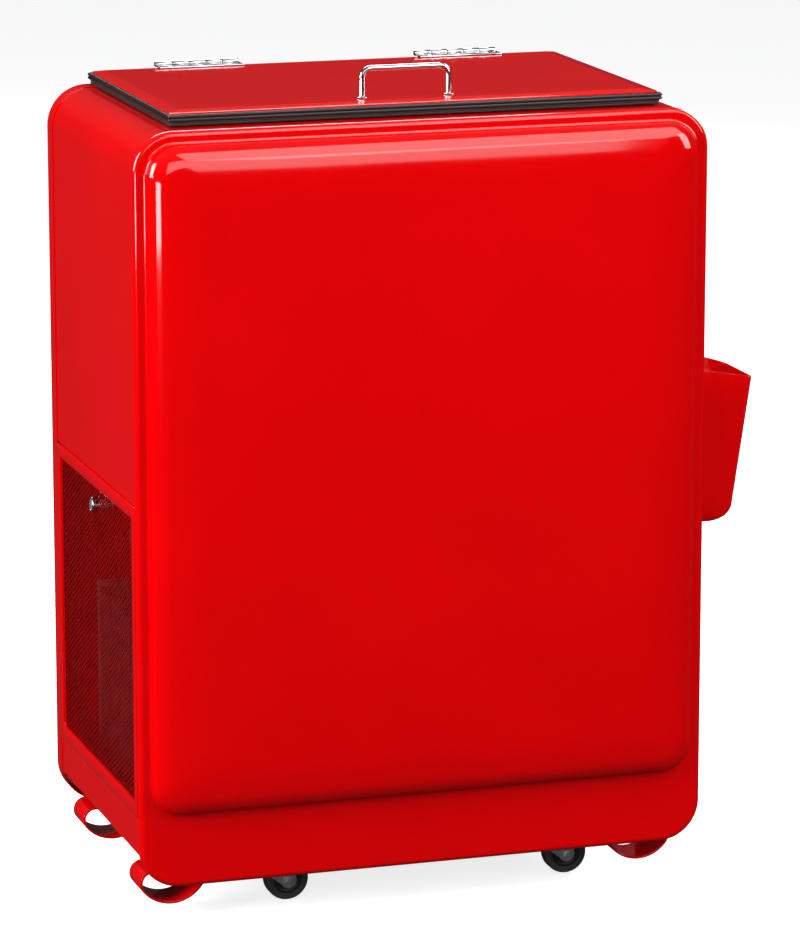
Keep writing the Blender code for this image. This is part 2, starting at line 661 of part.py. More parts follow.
def fan_rotor():
    """A hub and five pitched blades, with a bore for the motor's shaft."""
    start = -243 * MM
    hub = rod(22 * MM, (start, FAN_Y, FAN_Z), 22 * MM, "x", 20)
    blades = []
    for k in range(5):
        blade = box((-1 * MM, -24 * MM, 15 * MM), (1 * MM, 24 * MM, FAN_R))
        blade.transform(
            Matrix.Translation((start + 11 * MM, FAN_Y, FAN_Z))
            @ Matrix.Rotation(2 * pi * k / 5, 4, "X")
            @ Matrix.Rotation(radians(65), 4, "Z")
            @ Matrix.Rotation(pi / 2, 4, "Z")
        )
        blades.append(blade)
    rotor = helper(joined(hub, *blades))
    boolean(rotor, "DIFFERENCE", rod(3.4 * MM, (start - 5 * MM, FAN_Y, FAN_Z), 40 * MM, "x", 12))
    turning(finish("fan_rotor", baked(rotor), "black"), (0, FAN_Y, FAN_Z))


def cord_gland():
    """The inlet for a mains lead, through the rear panel."""
    x, z = GLAND
    profile = [(11, -8), (11, -2), (7.7, -2), (7.7, 0.3), (12, 0.3), (12, 3.3), (7, 4.3), (5.5, 9), (3.5, 9), (3.5, -8)]
    shape = turned([(r * MM, h * MM) for r, h in profile[::-1]], (x, DEPTH, z), "y", 14)
    finish("cord_gland", shape, "black")


# The feet and casters


def foot_path():
    """The strap's middle line of a left foot: flange, shallow arc, tight curl and top arm."""
    level = PAN_LOW - GAP - STRAP / 2
    centre, radius = (-283 * MM, 63 * MM), 42.1 * MM
    bend, curl = 6 * MM, 13.5 * MM
    start, turn = -18, 38.3
    join = arc(centre, radius, start, start, 1)[0]
    drop = (level - bend + bend * sin(radians(180 + start))) - join[1]
    slack = drop / cos(radians(start))
    bend_x = join[0] + bend * cos(radians(start)) - slack * sin(radians(start))
    outer = arc(centre, radius, 180 + turn, 180 + turn, 1)[0]
    curl_centre = (outer[0] + curl * cos(radians(turn)), outer[1] + curl * sin(radians(turn)))
    path = [(-212 * MM, level)]
    path += arc((bend_x, level - bend), bend, 90, 180 + start, 3)
    path += arc(centre, radius, start, -180 + turn, 10)
    path += arc(curl_centre, curl, -180 + turn, -270, 7)[1:]
    path.append((-262 * MM, path[-1][1]))
    return path


def feet():
    for side, sign in (("left", 1), ("right", -1)):
        path = [(sign * x - FOOT_X, z) for x, z in foot_path()]
        for place, low in (("front", FOOT_FRONT), ("rear", FOOT_REAR)):
            strap = strip(path, "xz", low, low + FOOT_WIDTH)
            solidify(finish(f"{place}_{side}_foot", strap, "red"), STRAP, 0)


def fork_mesh():
    """Crown and two legs, with the swivel axis on z and the wheel's middle at y = 0."""
    round_end = 9.7 * MM
    crown = FORK_TOP - FORK_SHEET
    outline = arc((TRAIL, WHEEL_R), round_end, -150, 40, 8)
    outline += [(24 * MM, crown + 0.5 * MM), (-13 * MM, crown + 0.5 * MM), (-13 * MM, crown - 5 * MM)]
    pieces = [rod(20 * MM, (0, 0, crown), FORK_SHEET, segments=28)]
    pieces.append(box((-13 * MM, -FORK_LEG - FORK_SHEET, crown), (24 * MM, FORK_LEG + FORK_SHEET, FORK_TOP)))
    for side in (-1, 1):
        y = side * (FORK_LEG + FORK_SHEET / 2)
        basis = Matrix(((1, 0, 0, 0), (0, 0, -1, y), (0, 1, 0, 0), (0, 0, 0, 1)))
        pieces.append(plate(outline, FORK_SHEET, basis))
    fork = helper(joined(*pieces))
    boolean(fork, "DIFFERENCE", rod(3.3 * MM, (TRAIL, -30 * MM, WHEEL_R), 60 * MM, "y", 16))
    return baked(fork)


def caster_meshes():
    """Every piece of a caster, about the point on the floor under its swivel axis."""
    top = PAN_LOW - GAP
    plate_low = top - 2 * MM
    square = box((-29 * MM, -29 * MM, plate_low), (29 * MM, 29 * MM, top))
    cup_low = FORK_TOP + GAP
    cup = rod(17 * MM, (0, 0, cup_low), plate_low + 1 * MM - cup_low, segments=28)
    grip = FORK_LEG + FORK_SHEET + GAP
    bolt = [rod(3 * MM, (TRAIL, -grip - 1 * MM, WHEEL_R), 2 * grip + 2 * MM, "y", 14)]
    for start, length in ((-grip - 3.5 * MM, 3.5 * MM), (grip, 4.5 * MM)):
        bolt.append(rod(5.2 * MM, (TRAIL, start, WHEEL_R), length, "y", 6))
    hub = [(16.9, 9.4), (16.9, -9.4), (7, -9.4), (7, -11.5), (3.4, -11.5), (3.4, 11.5), (7, 11.5), (7, 9.4)]
    tyre = [(17.3, 9.9), (23.4, 10.3), (25.4, 6.5), (25.4, -6.5), (23.4, -10.3), (17.3, -9.9)]
    middle = (TRAIL, 0, WHEEL_R)
    return {
        "plate": (joined(square, cup), "zinc"),
        "fork": (fork_mesh(), "zinc"),
        "axle_bolt": (joined(*bolt), "zinc"),
        "wheel_hub": (turned([(r * MM, h * MM) for r, h in hub], middle, "y", 16), "black"),
        "tyre": (turned([(r * MM, h * MM) for r, h in tyre], middle, "y", 28), "rubber"),
    }


def casters():
    meshes = caster_meshes()
    for place, y in (("front", CASTER_Y), ("rear", DEPTH - CASTER_Y)):
        for side, x in (("left", -CASTER_X), ("right", CASTER_X)):
            for piece, (mesh, colour) in meshes.items():
                obj = finish(f"{place}_{side}_{piece}", mesh.copy(), colour)
                obj.location = (x, y, 0)
                if piece in ("wheel_hub", "tyre"):
                    obj.data.transform(Matrix.Translation((-TRAIL, 0, -WHEEL_R)))
                    obj.location = (x + TRAIL, y, WHEEL_R)


# The cap bin and the bottle opener


def bin_ring(reach, narrow, z, slope):
    """The bin's outline: square at the case, a small corner in front and a large one at the back."""
    near = 8 * MM
    far = min(42 * MM, (reach - BIN_BACK) * 0.8)
    low, high = BIN_FRONT_Y + narrow, BIN_BACK_Y - narrow
    outline = [(BIN_BACK, low)]
    outline += arc((reach - near, low + near), near, -90, 0, 2)
    outline += arc((reach - far, high - far), far, 0, 90, 4)
    outline.append((BIN_BACK, high))
    return [(x, y, z + slope * (reach - x)) for x, y in outline[::-1]]


def cap_bin():
    """A tapered pocket of sheet with a round lower corner and a rim that slopes outwards."""
    straight = 147 * MM
    low = BIN_REACH - BIN_TAPER * straight
    rings = [bin_ring(BIN_REACH, 0, BIN_RIM, BIN_RIM_SLOPE), bin_ring(low, 0, BIN_RIM - straight, 0)]
    for k in range(1, 5):
        turn = radians(80 * k / 4)
        reach = low - 26 * MM * (1 - cos(turn))
        rings.append(bin_ring(reach, 6 * MM * (1 - cos(turn)), BIN_RIM - straight - 22 * MM * sin(turn), 0))
    solidify(finish("cap_bin", loft(rings, end_cap=True), "red"), SHEET, -1)


def bottle_opener():
    """A screw-on plate with a hooked lip over the cap bin."""
    middle = (BIN_FRONT_Y + BIN_BACK_Y) / 2
    base = box((BIN_BACK, middle - 28 * MM, 640 * MM), (BIN_BACK + 2.5 * MM, middle + 28 * MM, 705 * MM))
    hook = [(0, 690), (12, 688), (20, 680), (20, 668), (14, 664), (13, 668), (16, 671), (15, 678), (9, 682), (0, 683)]
    outline = [(BIN_BACK + 1 * MM + x * MM, z * MM) for x, z in hook]
    basis = Matrix(((1, 0, 0, 0), (0, 0, -1, middle), (0, 1, 0, 0), (0, 0, 0, 1)))
    finish("bottle_opener", joined(base, plate(outline, 30 * MM, basis)), "zinc")


def centre_on_origin():
    """Shifts everything so that the origin is under the middle of the whole object's footprint."""
    pillow_front = -PILLOW_PROUD - PILLOW_CROWN
    gland_back = DEPTH + 9 * MM
    shift = Vector((-(LOCK_FRONT + BIN_REACH) / 2, -(pillow_front + gland_back) / 2, 0))
    for obj in list(parts.objects) + list(cutters.objects):
        obj.location += shift


front_panel()
rear_panel()
body_wrapper()
left_sill_panel()
base_pan()
tub()
drain()
lid()
hinges()
vent()
lock()
condensing_unit()
cord_gland()
feet()
casters()
cap_bin()
bottle_opener()
centre_on_origin()
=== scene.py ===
"""The finished look of a chest cooler on casters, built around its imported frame. Lengths are in metres."""

from math import cos, pi, radians, sin

import bmesh
import bpy
from mathutils import Matrix, Vector


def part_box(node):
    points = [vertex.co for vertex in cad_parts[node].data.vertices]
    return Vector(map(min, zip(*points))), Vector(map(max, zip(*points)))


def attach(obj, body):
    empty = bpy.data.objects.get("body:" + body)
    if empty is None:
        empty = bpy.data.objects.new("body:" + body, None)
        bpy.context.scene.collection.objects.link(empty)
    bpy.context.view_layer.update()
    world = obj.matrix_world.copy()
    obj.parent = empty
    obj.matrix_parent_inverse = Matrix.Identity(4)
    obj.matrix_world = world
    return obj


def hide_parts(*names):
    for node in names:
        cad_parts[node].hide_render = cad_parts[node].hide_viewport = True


bl_info = {
    "name": "Chest Cooler on Casters",
    "version": (1, 0, 0),
    "blender": (4, 5, 0),
    "location": "3D View > Sidebar > Cooler",
    "description": "Builds the finished pieces of an enamelled chest cooler on casters",
    "category": "Object",
}

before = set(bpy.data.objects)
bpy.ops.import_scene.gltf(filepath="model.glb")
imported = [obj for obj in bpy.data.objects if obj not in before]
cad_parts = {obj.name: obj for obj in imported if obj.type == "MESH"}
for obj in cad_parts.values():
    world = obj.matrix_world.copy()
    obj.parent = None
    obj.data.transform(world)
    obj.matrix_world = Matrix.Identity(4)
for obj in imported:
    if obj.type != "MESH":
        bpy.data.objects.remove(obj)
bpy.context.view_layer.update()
MM = 0.001
GAP = 0.3 * MM

# Where the case's middle, front rim and floor are in the frame
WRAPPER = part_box("body_wrapper")
SHIFT = Vector(((WRAPPER[0][0] + WRAPPER[1][0]) / 2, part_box("front_panel")[1][1] - 8 * MM, 0))


def cad(node):
    """A CAD node's lowest and highest corner, about the case's own middle, front rim and floor."""
    low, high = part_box(node)
    return Vector(low) - SHIFT, Vector(high) - SHIFT


CASE_LOW, CASE_TOP = cad("rear_panel")
HALF_W = CASE_TOP.x
DEPTH = CASE_TOP.y
CORNER_R = 47 * MM
EDGE_R = 6 * MM
SHEET = 1.2 * MM
DECK = cad("body_wrapper")[1].z
LID_LOW, LID_HIGH = cad("lid_frame")
LID_X = (LID_LOW.x + LID_HIGH.x) / 2
LID_HALF = (LID_HIGH.x - LID_LOW.x) / 2
LID_TOP = cad("lid_shell")[1].z
TUB_FLOOR = cad("inner_liner")[0].z + 1.5 * MM
VENT_LOW, VENT_HIGH = cad("vent_frame")
BIN_LOW, BIN_HIGH = cad("cap_bin")
HINGES = [(cad(f"{side}_hinge_pin")[0] + cad(f"{side}_hinge_pin")[1]) / 2 for side in ("left", "right")]
LOCK_LOW, LOCK_HIGH = cad("lock_housing")
LOCK = Vector((LOCK_LOW.x, (LOCK_LOW.y + LOCK_HIGH.y) / 2, (LOCK_LOW.z + LOCK_HIGH.z) / 2))


# Meshes


def to_mesh(bm, name="shape"):
    mesh = bpy.data.meshes.new(name)
    bm.to_mesh(mesh)
    bm.free()
    return mesh


def scratch(mesh):
    """An object that lives only until its modifiers are applied."""
    obj = bpy.data.objects.new("scratch", mesh)
    bpy.context.scene.collection.objects.link(obj)
    return obj


def baked(obj):
    """The object's mesh with its modifiers applied. The object is removed."""
    graph = bpy.context.evaluated_depsgraph_get()
    mesh = bpy.data.meshes.new_from_object(obj.evaluated_get(graph))
    bpy.data.objects.remove(obj)
    return mesh


def modified(mesh, kind, **settings):
    """The mesh with one modifier applied."""
    obj = scratch(mesh)
    modifier = obj.modifiers.new(kind.lower(), kind)
    for key, value in settings.items():
        setattr(modifier, key, value)
    return baked(obj)


def bevelled(mesh, width, segments=3, angle=32):
    """Edges sharper than the angle rounded to the width."""
    return modified(
        mesh,
        "BEVEL",
        width=width,
        segments=segments,
        limit_method="ANGLE",
        angle_limit=radians(angle),
        use_clamp_overlap=True,
    )


def sheet(mesh, thickness, offset=-1.0):
    return modified(mesh, "SOLIDIFY", thickness=thickness, offset=offset, use_even_offset=True)


def boolean(mesh, operation, *tools):
    for tool in tools:
        cutter = scratch(tool)
        mesh = modified(mesh, "BOOLEAN", operation=operation, object=cutter, solver="EXACT")
        bpy.data.objects.remove(cutter)
    return mesh


def together(*meshes):
    """Several shells in one mesh, with no cutting."""
    bm = bmesh.new()
    for mesh in meshes:
        bm.from_mesh(mesh)
    return to_mesh(bm)


def moved(mesh, offset=(0, 0, 0), turn=None):
    """A copy of the mesh turned by a matrix and then moved."""
    copy = mesh.copy()
    if turn is not None:
        copy.transform(turn)
    copy.transform(Matrix.Translation(offset))
    return copy


def outward(mesh):
    """Doubles merged and the faces of a closed shape turned out."""
    bm = bmesh.new()
    bm.from_mesh(mesh)
    bmesh.ops.remove_doubles(bm, verts=bm.verts, dist=1e-7)
    bmesh.ops.recalc_face_normals(bm, faces=bm.faces)
    return to_mesh(bm)


TURN_TO = {
    "x": Matrix.Rotation(pi / 2, 4, "Y"),
    "-x": Matrix.Rotation(-pi / 2, 4, "Y"),
    "y": Matrix.Rotation(-pi / 2, 4, "X"),
    "-y": Matrix.Rotation(pi / 2, 4, "X"),
    "z": Matrix.Identity(4),
    "-z": Matrix.Rotation(pi, 4, "X"),
}


def box(low, high):
    bm = bmesh.new()
    size = [b - a for a, b in zip(low, high)]
    middle = [(a + b) / 2 for a, b in zip(low, high)]
    bmesh.ops.create_cube(bm, size=1, matrix=Matrix.Translation(middle) @ Matrix.Diagonal((*size, 1)))
    return to_mesh(bm)


def rod(radius, start, length, axis="z", segments=48):
    bm = bmesh.new()
    matrix = Matrix.Translation(start) @ TURN_TO[axis] @ Matrix.Translation((0, 0, length / 2))
    bmesh.ops.create_cone(
        bm, cap_ends=True, segments=segments, radius1=radius, radius2=radius, depth=length, matrix=matrix
    )
    return to_mesh(bm)


def turned(profile, start=(0, 0, 0), axis="z", steps=64):
    """A closed outline of (radius, height) in millimetres turned about an axis through a point."""
    bm = bmesh.new()
    rings = []
    for r, h in profile:
        if r < 1e-6:
            rings.append([bm.verts.new((0, 0, h * MM))])
            continue
        rings.append([
            bm.verts.new((r * MM * cos(2 * pi * k / steps), r * MM * sin(2 * pi * k / steps), h * MM))
            for k in range(steps)
        ])
    for row, after in zip(rings, rings[1:] + rings[:1]):
        if len(row) == len(after) == 1:
            continue
        for k in range(steps):
            n = (k + 1) % steps
            if len(row) == 1:
                bm.faces.new((row[0], after[n], after[k]))
            elif len(after) == 1:
                bm.faces.new((row[k], row[n], after[0]))
            else:
                bm.faces.new((row[k], row[n], after[n], after[k]))
    bmesh.ops.recalc_face_normals(bm, faces=bm.faces)
    bm.transform(Matrix.Translation(start) @ TURN_TO[axis])
    return to_mesh(bm)


def arc(centre, radius, start, end, steps):
    angles = [radians(start + (end - start) * k / steps) for k in range(steps + 1)]
    return [(centre[0] + radius * cos(a), centre[1] + radius * sin(a)) for a in angles]


def rounded(u_low, u_high, v_low, v_high, radius, steps=14):
    """A rectangle with round corners and points along its sides, anticlockwise from u towards v."""
    corners = []
    for u, v, start in (
        (u_high - radius, v_low + radius, -90),
        (u_high - radius, v_high - radius, 0),
        (u_low + radius, v_high - radius, 90),
        (u_low + radius, v_low + radius, 180),
    ):
        corners.append(arc((u, v), radius, start, start + 90, steps))
    points = []
    for corner, after in zip(corners, corners[1:] + corners[:1]):
        points += corner
        (u0, v0), (u1, v1) = corner[-1], after[0]
        points += [(u0 + (u1 - u0) * k / 6, v0 + (v1 - v0) * k / 6) for k in range(1, 6)]
    return points


def loft(rings, start_cap=False, end_cap=False, closed=False):
    """A skin over rings of equal length."""
    bm = bmesh.new()
    rows = [[bm.verts.new(p) for p in ring] for ring in rings]
    for row, after in zip(rows, rows[1:] + rows[:1]) if closed else zip(rows, rows[1:]):
        for k in range(len(row)):
            n = (k + 1) % len(row)
            bm.faces.new((row[k], row[n], after[n], after[k]))
    if start_cap:
        bm.faces.new(rows[0][::-1])
    if end_cap:
        bm.faces.new(rows[-1])
    return to_mesh(bm)


def flat_ring(half, y_low, y_high, radius, z, steps=14):
    return [(x, y, z) for x, y in rounded(-half, half, y_low, y_high, radius, steps)]


def band(half, y_low, y_high, radius, section):
    """A closed frame whose section's points are (outset, z)."""
    return loft(
        [flat_ring(half + s, y_low - s, y_high + s, radius + s, z) for s, z in section], closed=True
    )


def mitred(half, y_low, y_high, section):
    """A closed frame with crisp corners, whose section's points are (outset, z)."""
    rings = [
        [(x, y, z) for x, y in rounded(-half - s, half + s, y_low - s, y_high + s, 3 * MM, 5)]
        for s, z in section
    ]
    return loft(rings, closed=True)


def strip(path, plane, start, end, cuts=1):
    """A path in a plane drawn out along the third axis."""
    place = {"xz": lambda p, w: (p[0], w, p[1]), "yz": lambda p, w: (w, p[0], p[1])}[plane]
    bm = bmesh.new()
    rows = [
        [bm.verts.new(place(p, start + (end - start) * n / cuts)) for p in path] for n in range(cuts + 1)
    ]
    for row, after in zip(rows, rows[1:]):
        for k in range(len(path) - 1):
            bm.faces.new((row[k], row[k + 1], after[k + 1], after[k]))
    return to_mesh(bm)


def plate(outline, thickness, matrix):
    """A flat outline as thick as said, centred on its plane and then placed by the matrix."""
    bm = bmesh.new()
    face = bm.faces.new([bm.verts.new((u, v, -thickness / 2)) for u, v in outline])
    extruded = bmesh.ops.extrude_face_region(bm, geom=[face])["geom"]
    bmesh.ops.translate(
        bm, vec=(0, 0, thickness), verts=[v for v in extruded if isinstance(v, bmesh.types.BMVert)]
    )
    bmesh.ops.recalc_face_normals(bm, faces=bm.faces)
    bm.transform(matrix)
    bmesh.ops.recalc_face_normals(bm, faces=bm.faces)
    return to_mesh(bm)


def upright(y):
    """Stands a flat outline up in the plane across Y at a place."""
    return Matrix(((1, 0, 0, 0), (0, 0, -1, y), (0, 1, 0, 0), (0, 0, 0, 1)))


def tube(points, radius, sides=24):
    """A round wire along a path, with flat ends."""
    bm = bmesh.new()
    rows = []
    points = [Vector(p) for p in points]
    side = None
    for k, point in enumerate(points):
        ahead = points[min(k + 1, len(points) - 1)] - points[max(k - 1, 0)]
        ahead.normalize()
        if side is None:
            side = ahead.orthogonal().normalized()
        side = (side - ahead * side.dot(ahead)).normalized()
        up = ahead.cross(side)
        rows.append([
            bm.verts.new(point + radius * (side * cos(2 * pi * n / sides) + up * sin(2 * pi * n / sides)))
            for n in range(sides)
        ])
    for row, after in zip(rows, rows[1:]):
        for k in range(sides):
            n = (k + 1) % sides
            bm.faces.new((row[k], row[n], after[n], after[k]))
    bm.faces.new(rows[0][::-1])
    bm.faces.new(rows[-1])
    bmesh.ops.recalc_face_normals(bm, faces=bm.faces)
    return to_mesh(bm)


def piece(name, mesh, look, body, replaced=(), smooth=40):
    """A finished piece on its body, with its place in its mesh. Edges sharper than the angle stay crisp."""
    mesh.transform(Matrix.Translation(SHIFT))
    mesh.name = name
    mesh.materials.clear()
    mesh.materials.append(finish(look))
    mesh.shade_smooth()
    mesh.set_sharp_from_angle(angle=radians(smooth))
    obj = bpy.data.objects.new(name, mesh)
    bpy.context.scene.collection.objects.link(obj)
    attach(obj, body)
    if replaced:
        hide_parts(*([replaced] if isinstance(replaced, str) else replaced))
    return obj


# Materials


def linear(code):
    """An sRGB hex colour as linear RGBA."""
    values = [int(code[k : k + 2], 16) / 255 for k in (0, 2, 4)]
    return (*(v / 12.92 if v <= 0.04045 else ((v + 0.055) / 1.055) ** 2.4 for v in values), 1)


def node(tree, kind, links=(), **settings):
    """Adds a node, sets its properties and input values, and links what feeds it."""
    made = tree.nodes.new(kind)
    for key, value in settings.items():
        if hasattr(made, key):
            setattr(made, key, value)
        else:
            made.inputs[key.replace("_", " ").title()].default_value = value
    for socket, source in links:
        tree.links.new(source, made.inputs[socket])
    return made


def surface(
    name,
    dark,
    light,
    spot,
    rough,
    bump=(0.0, 1.0),
    metallic=0.0,
    ior=1.5,
    coat=0.0,
    stretch=(1, 1, 1),
    kind="noise",
):
    """One finish. Two shades drift over spots of a size in metres, roughness drifts with them over its range, and
    a grain of (height, size) in metres lifts the surface. Stretch draws the pattern out along an axis."""
    material = bpy.data.materials.new(name)
    material.use_nodes = True
    tree = material.node_tree
    shader = tree.nodes["Principled BSDF"]
    place = node(tree, "ShaderNodeTexCoord").outputs["Object"]
    drawn = node(tree, "ShaderNodeMapping", [("Vector", place)], scale=stretch).outputs["Vector"]
    if kind == "cells":
        pattern = node(tree, "ShaderNodeTexVoronoi", [("Vector", drawn)], scale=1 / spot).outputs["Color"]
        pattern = node(tree, "ShaderNodeSeparateColor", [("Color", pattern)]).outputs[0]
    else:
        pattern = node(
            tree, "ShaderNodeTexNoise", [("Vector", drawn)], scale=1 / spot, detail=5.0, roughness=0.55
        ).outputs[0]
    mix = node(tree, "ShaderNodeMix", [("Factor", pattern)], data_type="RGBA")
    mix.inputs[6].default_value = linear(dark)
    mix.inputs[7].default_value = linear(light)
    tree.links.new(mix.outputs[2], shader.inputs["Base Color"])
    spread = node(tree, "ShaderNodeMapRange", [("Value", pattern)])
    spread.inputs["From Min"].default_value = 0.3
    spread.inputs["From Max"].default_value = 0.7
    spread.inputs["To Min"].default_value = rough[0]
    spread.inputs["To Max"].default_value = rough[1]
    tree.links.new(spread.outputs[0], shader.inputs["Roughness"])
    height, grain = bump
    if height:
        grit = node(tree, "ShaderNodeTexNoise", [("Vector", drawn)], scale=1 / grain, detail=2.0)
        lift = node(tree, "ShaderNodeBump", [("Height", grit.outputs[0])], strength=1.0, distance=height)
        tree.links.new(lift.outputs[0], shader.inputs["Normal"])
    shader.inputs["Metallic"].default_value = metallic
    if not metallic:
        shader.inputs["IOR"].default_value = ior
    shader.inputs["Coat Weight"].default_value = coat
    shader.inputs["Coat Roughness"].default_value = 0.05
    return material


def dress(nodes, look):
    """Gives CAD nodes whose shape stays a finish of their own."""
    for name in nodes:
        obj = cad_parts[name]
        for slot in obj.material_slots:
            slot.material = finish(look)


FINISHES = {}


def finish(name):
    """A finish, made once from the settings."""
    if name in FINISHES:
        return FINISHES[name]
    s = bpy.context.scene.cooler
    red, deep = hex_of(s.enamel), hex_of(s.enamel, 0.93)
    recipes = {
        # Sprayed and baked: an even red with the faint ripple of thick paint
        "baked_red_enamel": (deep, red, 0.18, (0.06, 0.09), (0.008 * MM, 5 * MM), 0, 1.5, 0.15),
        # The same paint on slit and stretched steel, duller than the sheet, with painted shade: its red is drawn
        # at 55 to 80 per cent of the sheet's
        "enamelled_expanded_steel": (
            hex_of(s.enamel, 0.55), hex_of(s.enamel, 0.8), 0.012, (0.25, 0.45), (0.05 * MM, 1.5 * MM)
        ),
        # Moulded PVC trim with a fine satin grain
        "black_pvc_trim": ("191716", "262322", 0.02, (0.28, 0.4), (0.02 * MM, 0.9 * MM)),
        # Extruded nitrile seal, matt with a dusty bloom
        "nitrile_seal": ("1a1716", "2b2625", 0.015, (0.55, 0.75), (0.03 * MM, 0.7 * MM)),
        # Nickel and chrome over a drawn wire or a stamping: almost a mirror
        "chrome_plate": ("bdbdc0", "cdcdd0", 0.03, (0.10, 0.16), (0, 1), 1),
        # Zinc plated stampings: bright, slightly cloudy
        "bright_zinc_plate": ("c6c7c9", "e2e3e5", 0.006, (0.42, 0.55), (0.01 * MM, 1.2 * MM), 1),
        # Hot dipped sheet with crystals about 8 mm across
        "galvanised_spangle": (
            "8f9496", "b6babb", 0.008, (0.3, 0.5), (0, 1), 1, 1.5, 0, (1, 1, 1), "cells"
        ),
        # Vacuum formed high impact polystyrene, smooth and slightly wavy
        "white_polystyrene": ("dcdedc", "e3e5e3", 0.12, (0.27, 0.31), (0.012 * MM, 5 * MM)),
        # Rigid urethane foam, pitted where it was cut
        "urethane_foam": ("b89c58", "dcc58a", 0.01, (0.85, 0.95), (0.6 * MM, 2.5 * MM)),
        # Stove enamelled cast and drawn steel on the sealed pot
        "black_stove_enamel": ("0f1012", "1b1c1f", 0.03, (0.3, 0.45), (0.06 * MM, 3 * MM)),
        # Rolled aluminium fin stock, with painted shade: drawn a dark grey, far darker than bare aluminium, so
        # that the coil behind the mesh reads dark
        "aluminium_fin_stock": ("54575a", "6a6d70", 0.02, (0.45, 0.6), (0, 1), 1),
        # Grey-black tread rubber with a worn bloom
        "tread_rubber": ("3a3433", "4c4543", 0.006, (0.55, 0.75), (0.05 * MM, 0.8 * MM)),
        # Glass-filled nylon, dark and dry
        "black_nylon": ("1c1b1b", "2a2828", 0.01, (0.4, 0.55), (0.03 * MM, 0.8 * MM)),
        # Extruded PVC pipe
        "white_pvc_pipe": ("c9c9c2", "dadad4", 0.05, (0.3, 0.42), (0.01 * MM, 2 * MM)),
    }
    FINISHES[name] = surface(name, *recipes[name])
    return FINISHES[name]


def hex_of(colour, share=1.0):
    """A colour setting as an sRGB hex code, darkened to a share."""
    return "".join(f"{round(max(0, min(1, c * share)) * 255):02x}" for c in colour[:3])


# Geometry Nodes


def tree_of(name, sockets):
    """A node tree with named inputs of (name, type, default)."""
    tree = bpy.data.node_groups.new(name, "GeometryNodeTree")
    tree.interface.new_socket("Geometry", in_out="INPUT", socket_type="NodeSocketGeometry")
    for label, kind, default in sockets:
        made = tree.interface.new_socket(label, in_out="INPUT", socket_type=f"NodeSocket{kind}")
        if default is not None:
            made.default_value = default
    tree.interface.new_socket("Geometry", in_out="OUTPUT", socket_type="NodeSocketGeometry")
    return tree


def grown(tree, mesh, look, **values):
    """The plain mesh that a tree makes of a mesh, with its inputs set by their identifiers."""
    obj = scratch(mesh)
    modifier = obj.modifiers.new("grow", "NODES")
    modifier.node_group = tree
    for item in tree.interface.items_tree:
        if item.item_type != "SOCKET" or item.in_out != "INPUT":
            continue
        key = item.name.lower().replace(" ", "_")
        if key == "finish":
            modifier[item.identifier] = finish(look)
        elif key in values:
            modifier[item.identifier] = values[key]
    return baked(obj)


def ended(tree, geometry, finish_socket):
    """Closes a tree: instances made real, then the finish."""
    real = node(tree, "GeometryNodeRealizeInstances", [("Geometry", geometry)])
    done = node(
        tree, "GeometryNodeSetMaterial", [("Geometry", real.outputs[0]), ("Material", finish_socket)]
    )
    node(tree, "NodeGroupOutput", [(0, done.outputs[0])])


def copies_tree():
    """Puts a copy of an object on every point, turned as the point's own rotation says."""
    tree = tree_of(
        "copies_on_points",
        [("Copy", "Object", None), ("Turn", "Rotation", None), ("Finish", "Material", None)],
    )
    given = node(tree, "NodeGroupInput")
    shape = node(tree, "GeometryNodeObjectInfo", [("Object", given.outputs["Copy"])])
    points = node(tree, "GeometryNodeMeshToPoints", [("Mesh", given.outputs["Geometry"])])
    placed = node(
        tree,
        "GeometryNodeInstanceOnPoints",
        [
            ("Points", points.outputs[0]),
            ("Instance", shape.outputs["Geometry"]),
            ("Rotation", given.outputs["Turn"]),
        ],
    )
    ended(tree, placed.outputs[0], given.outputs["Finish"])
    return tree


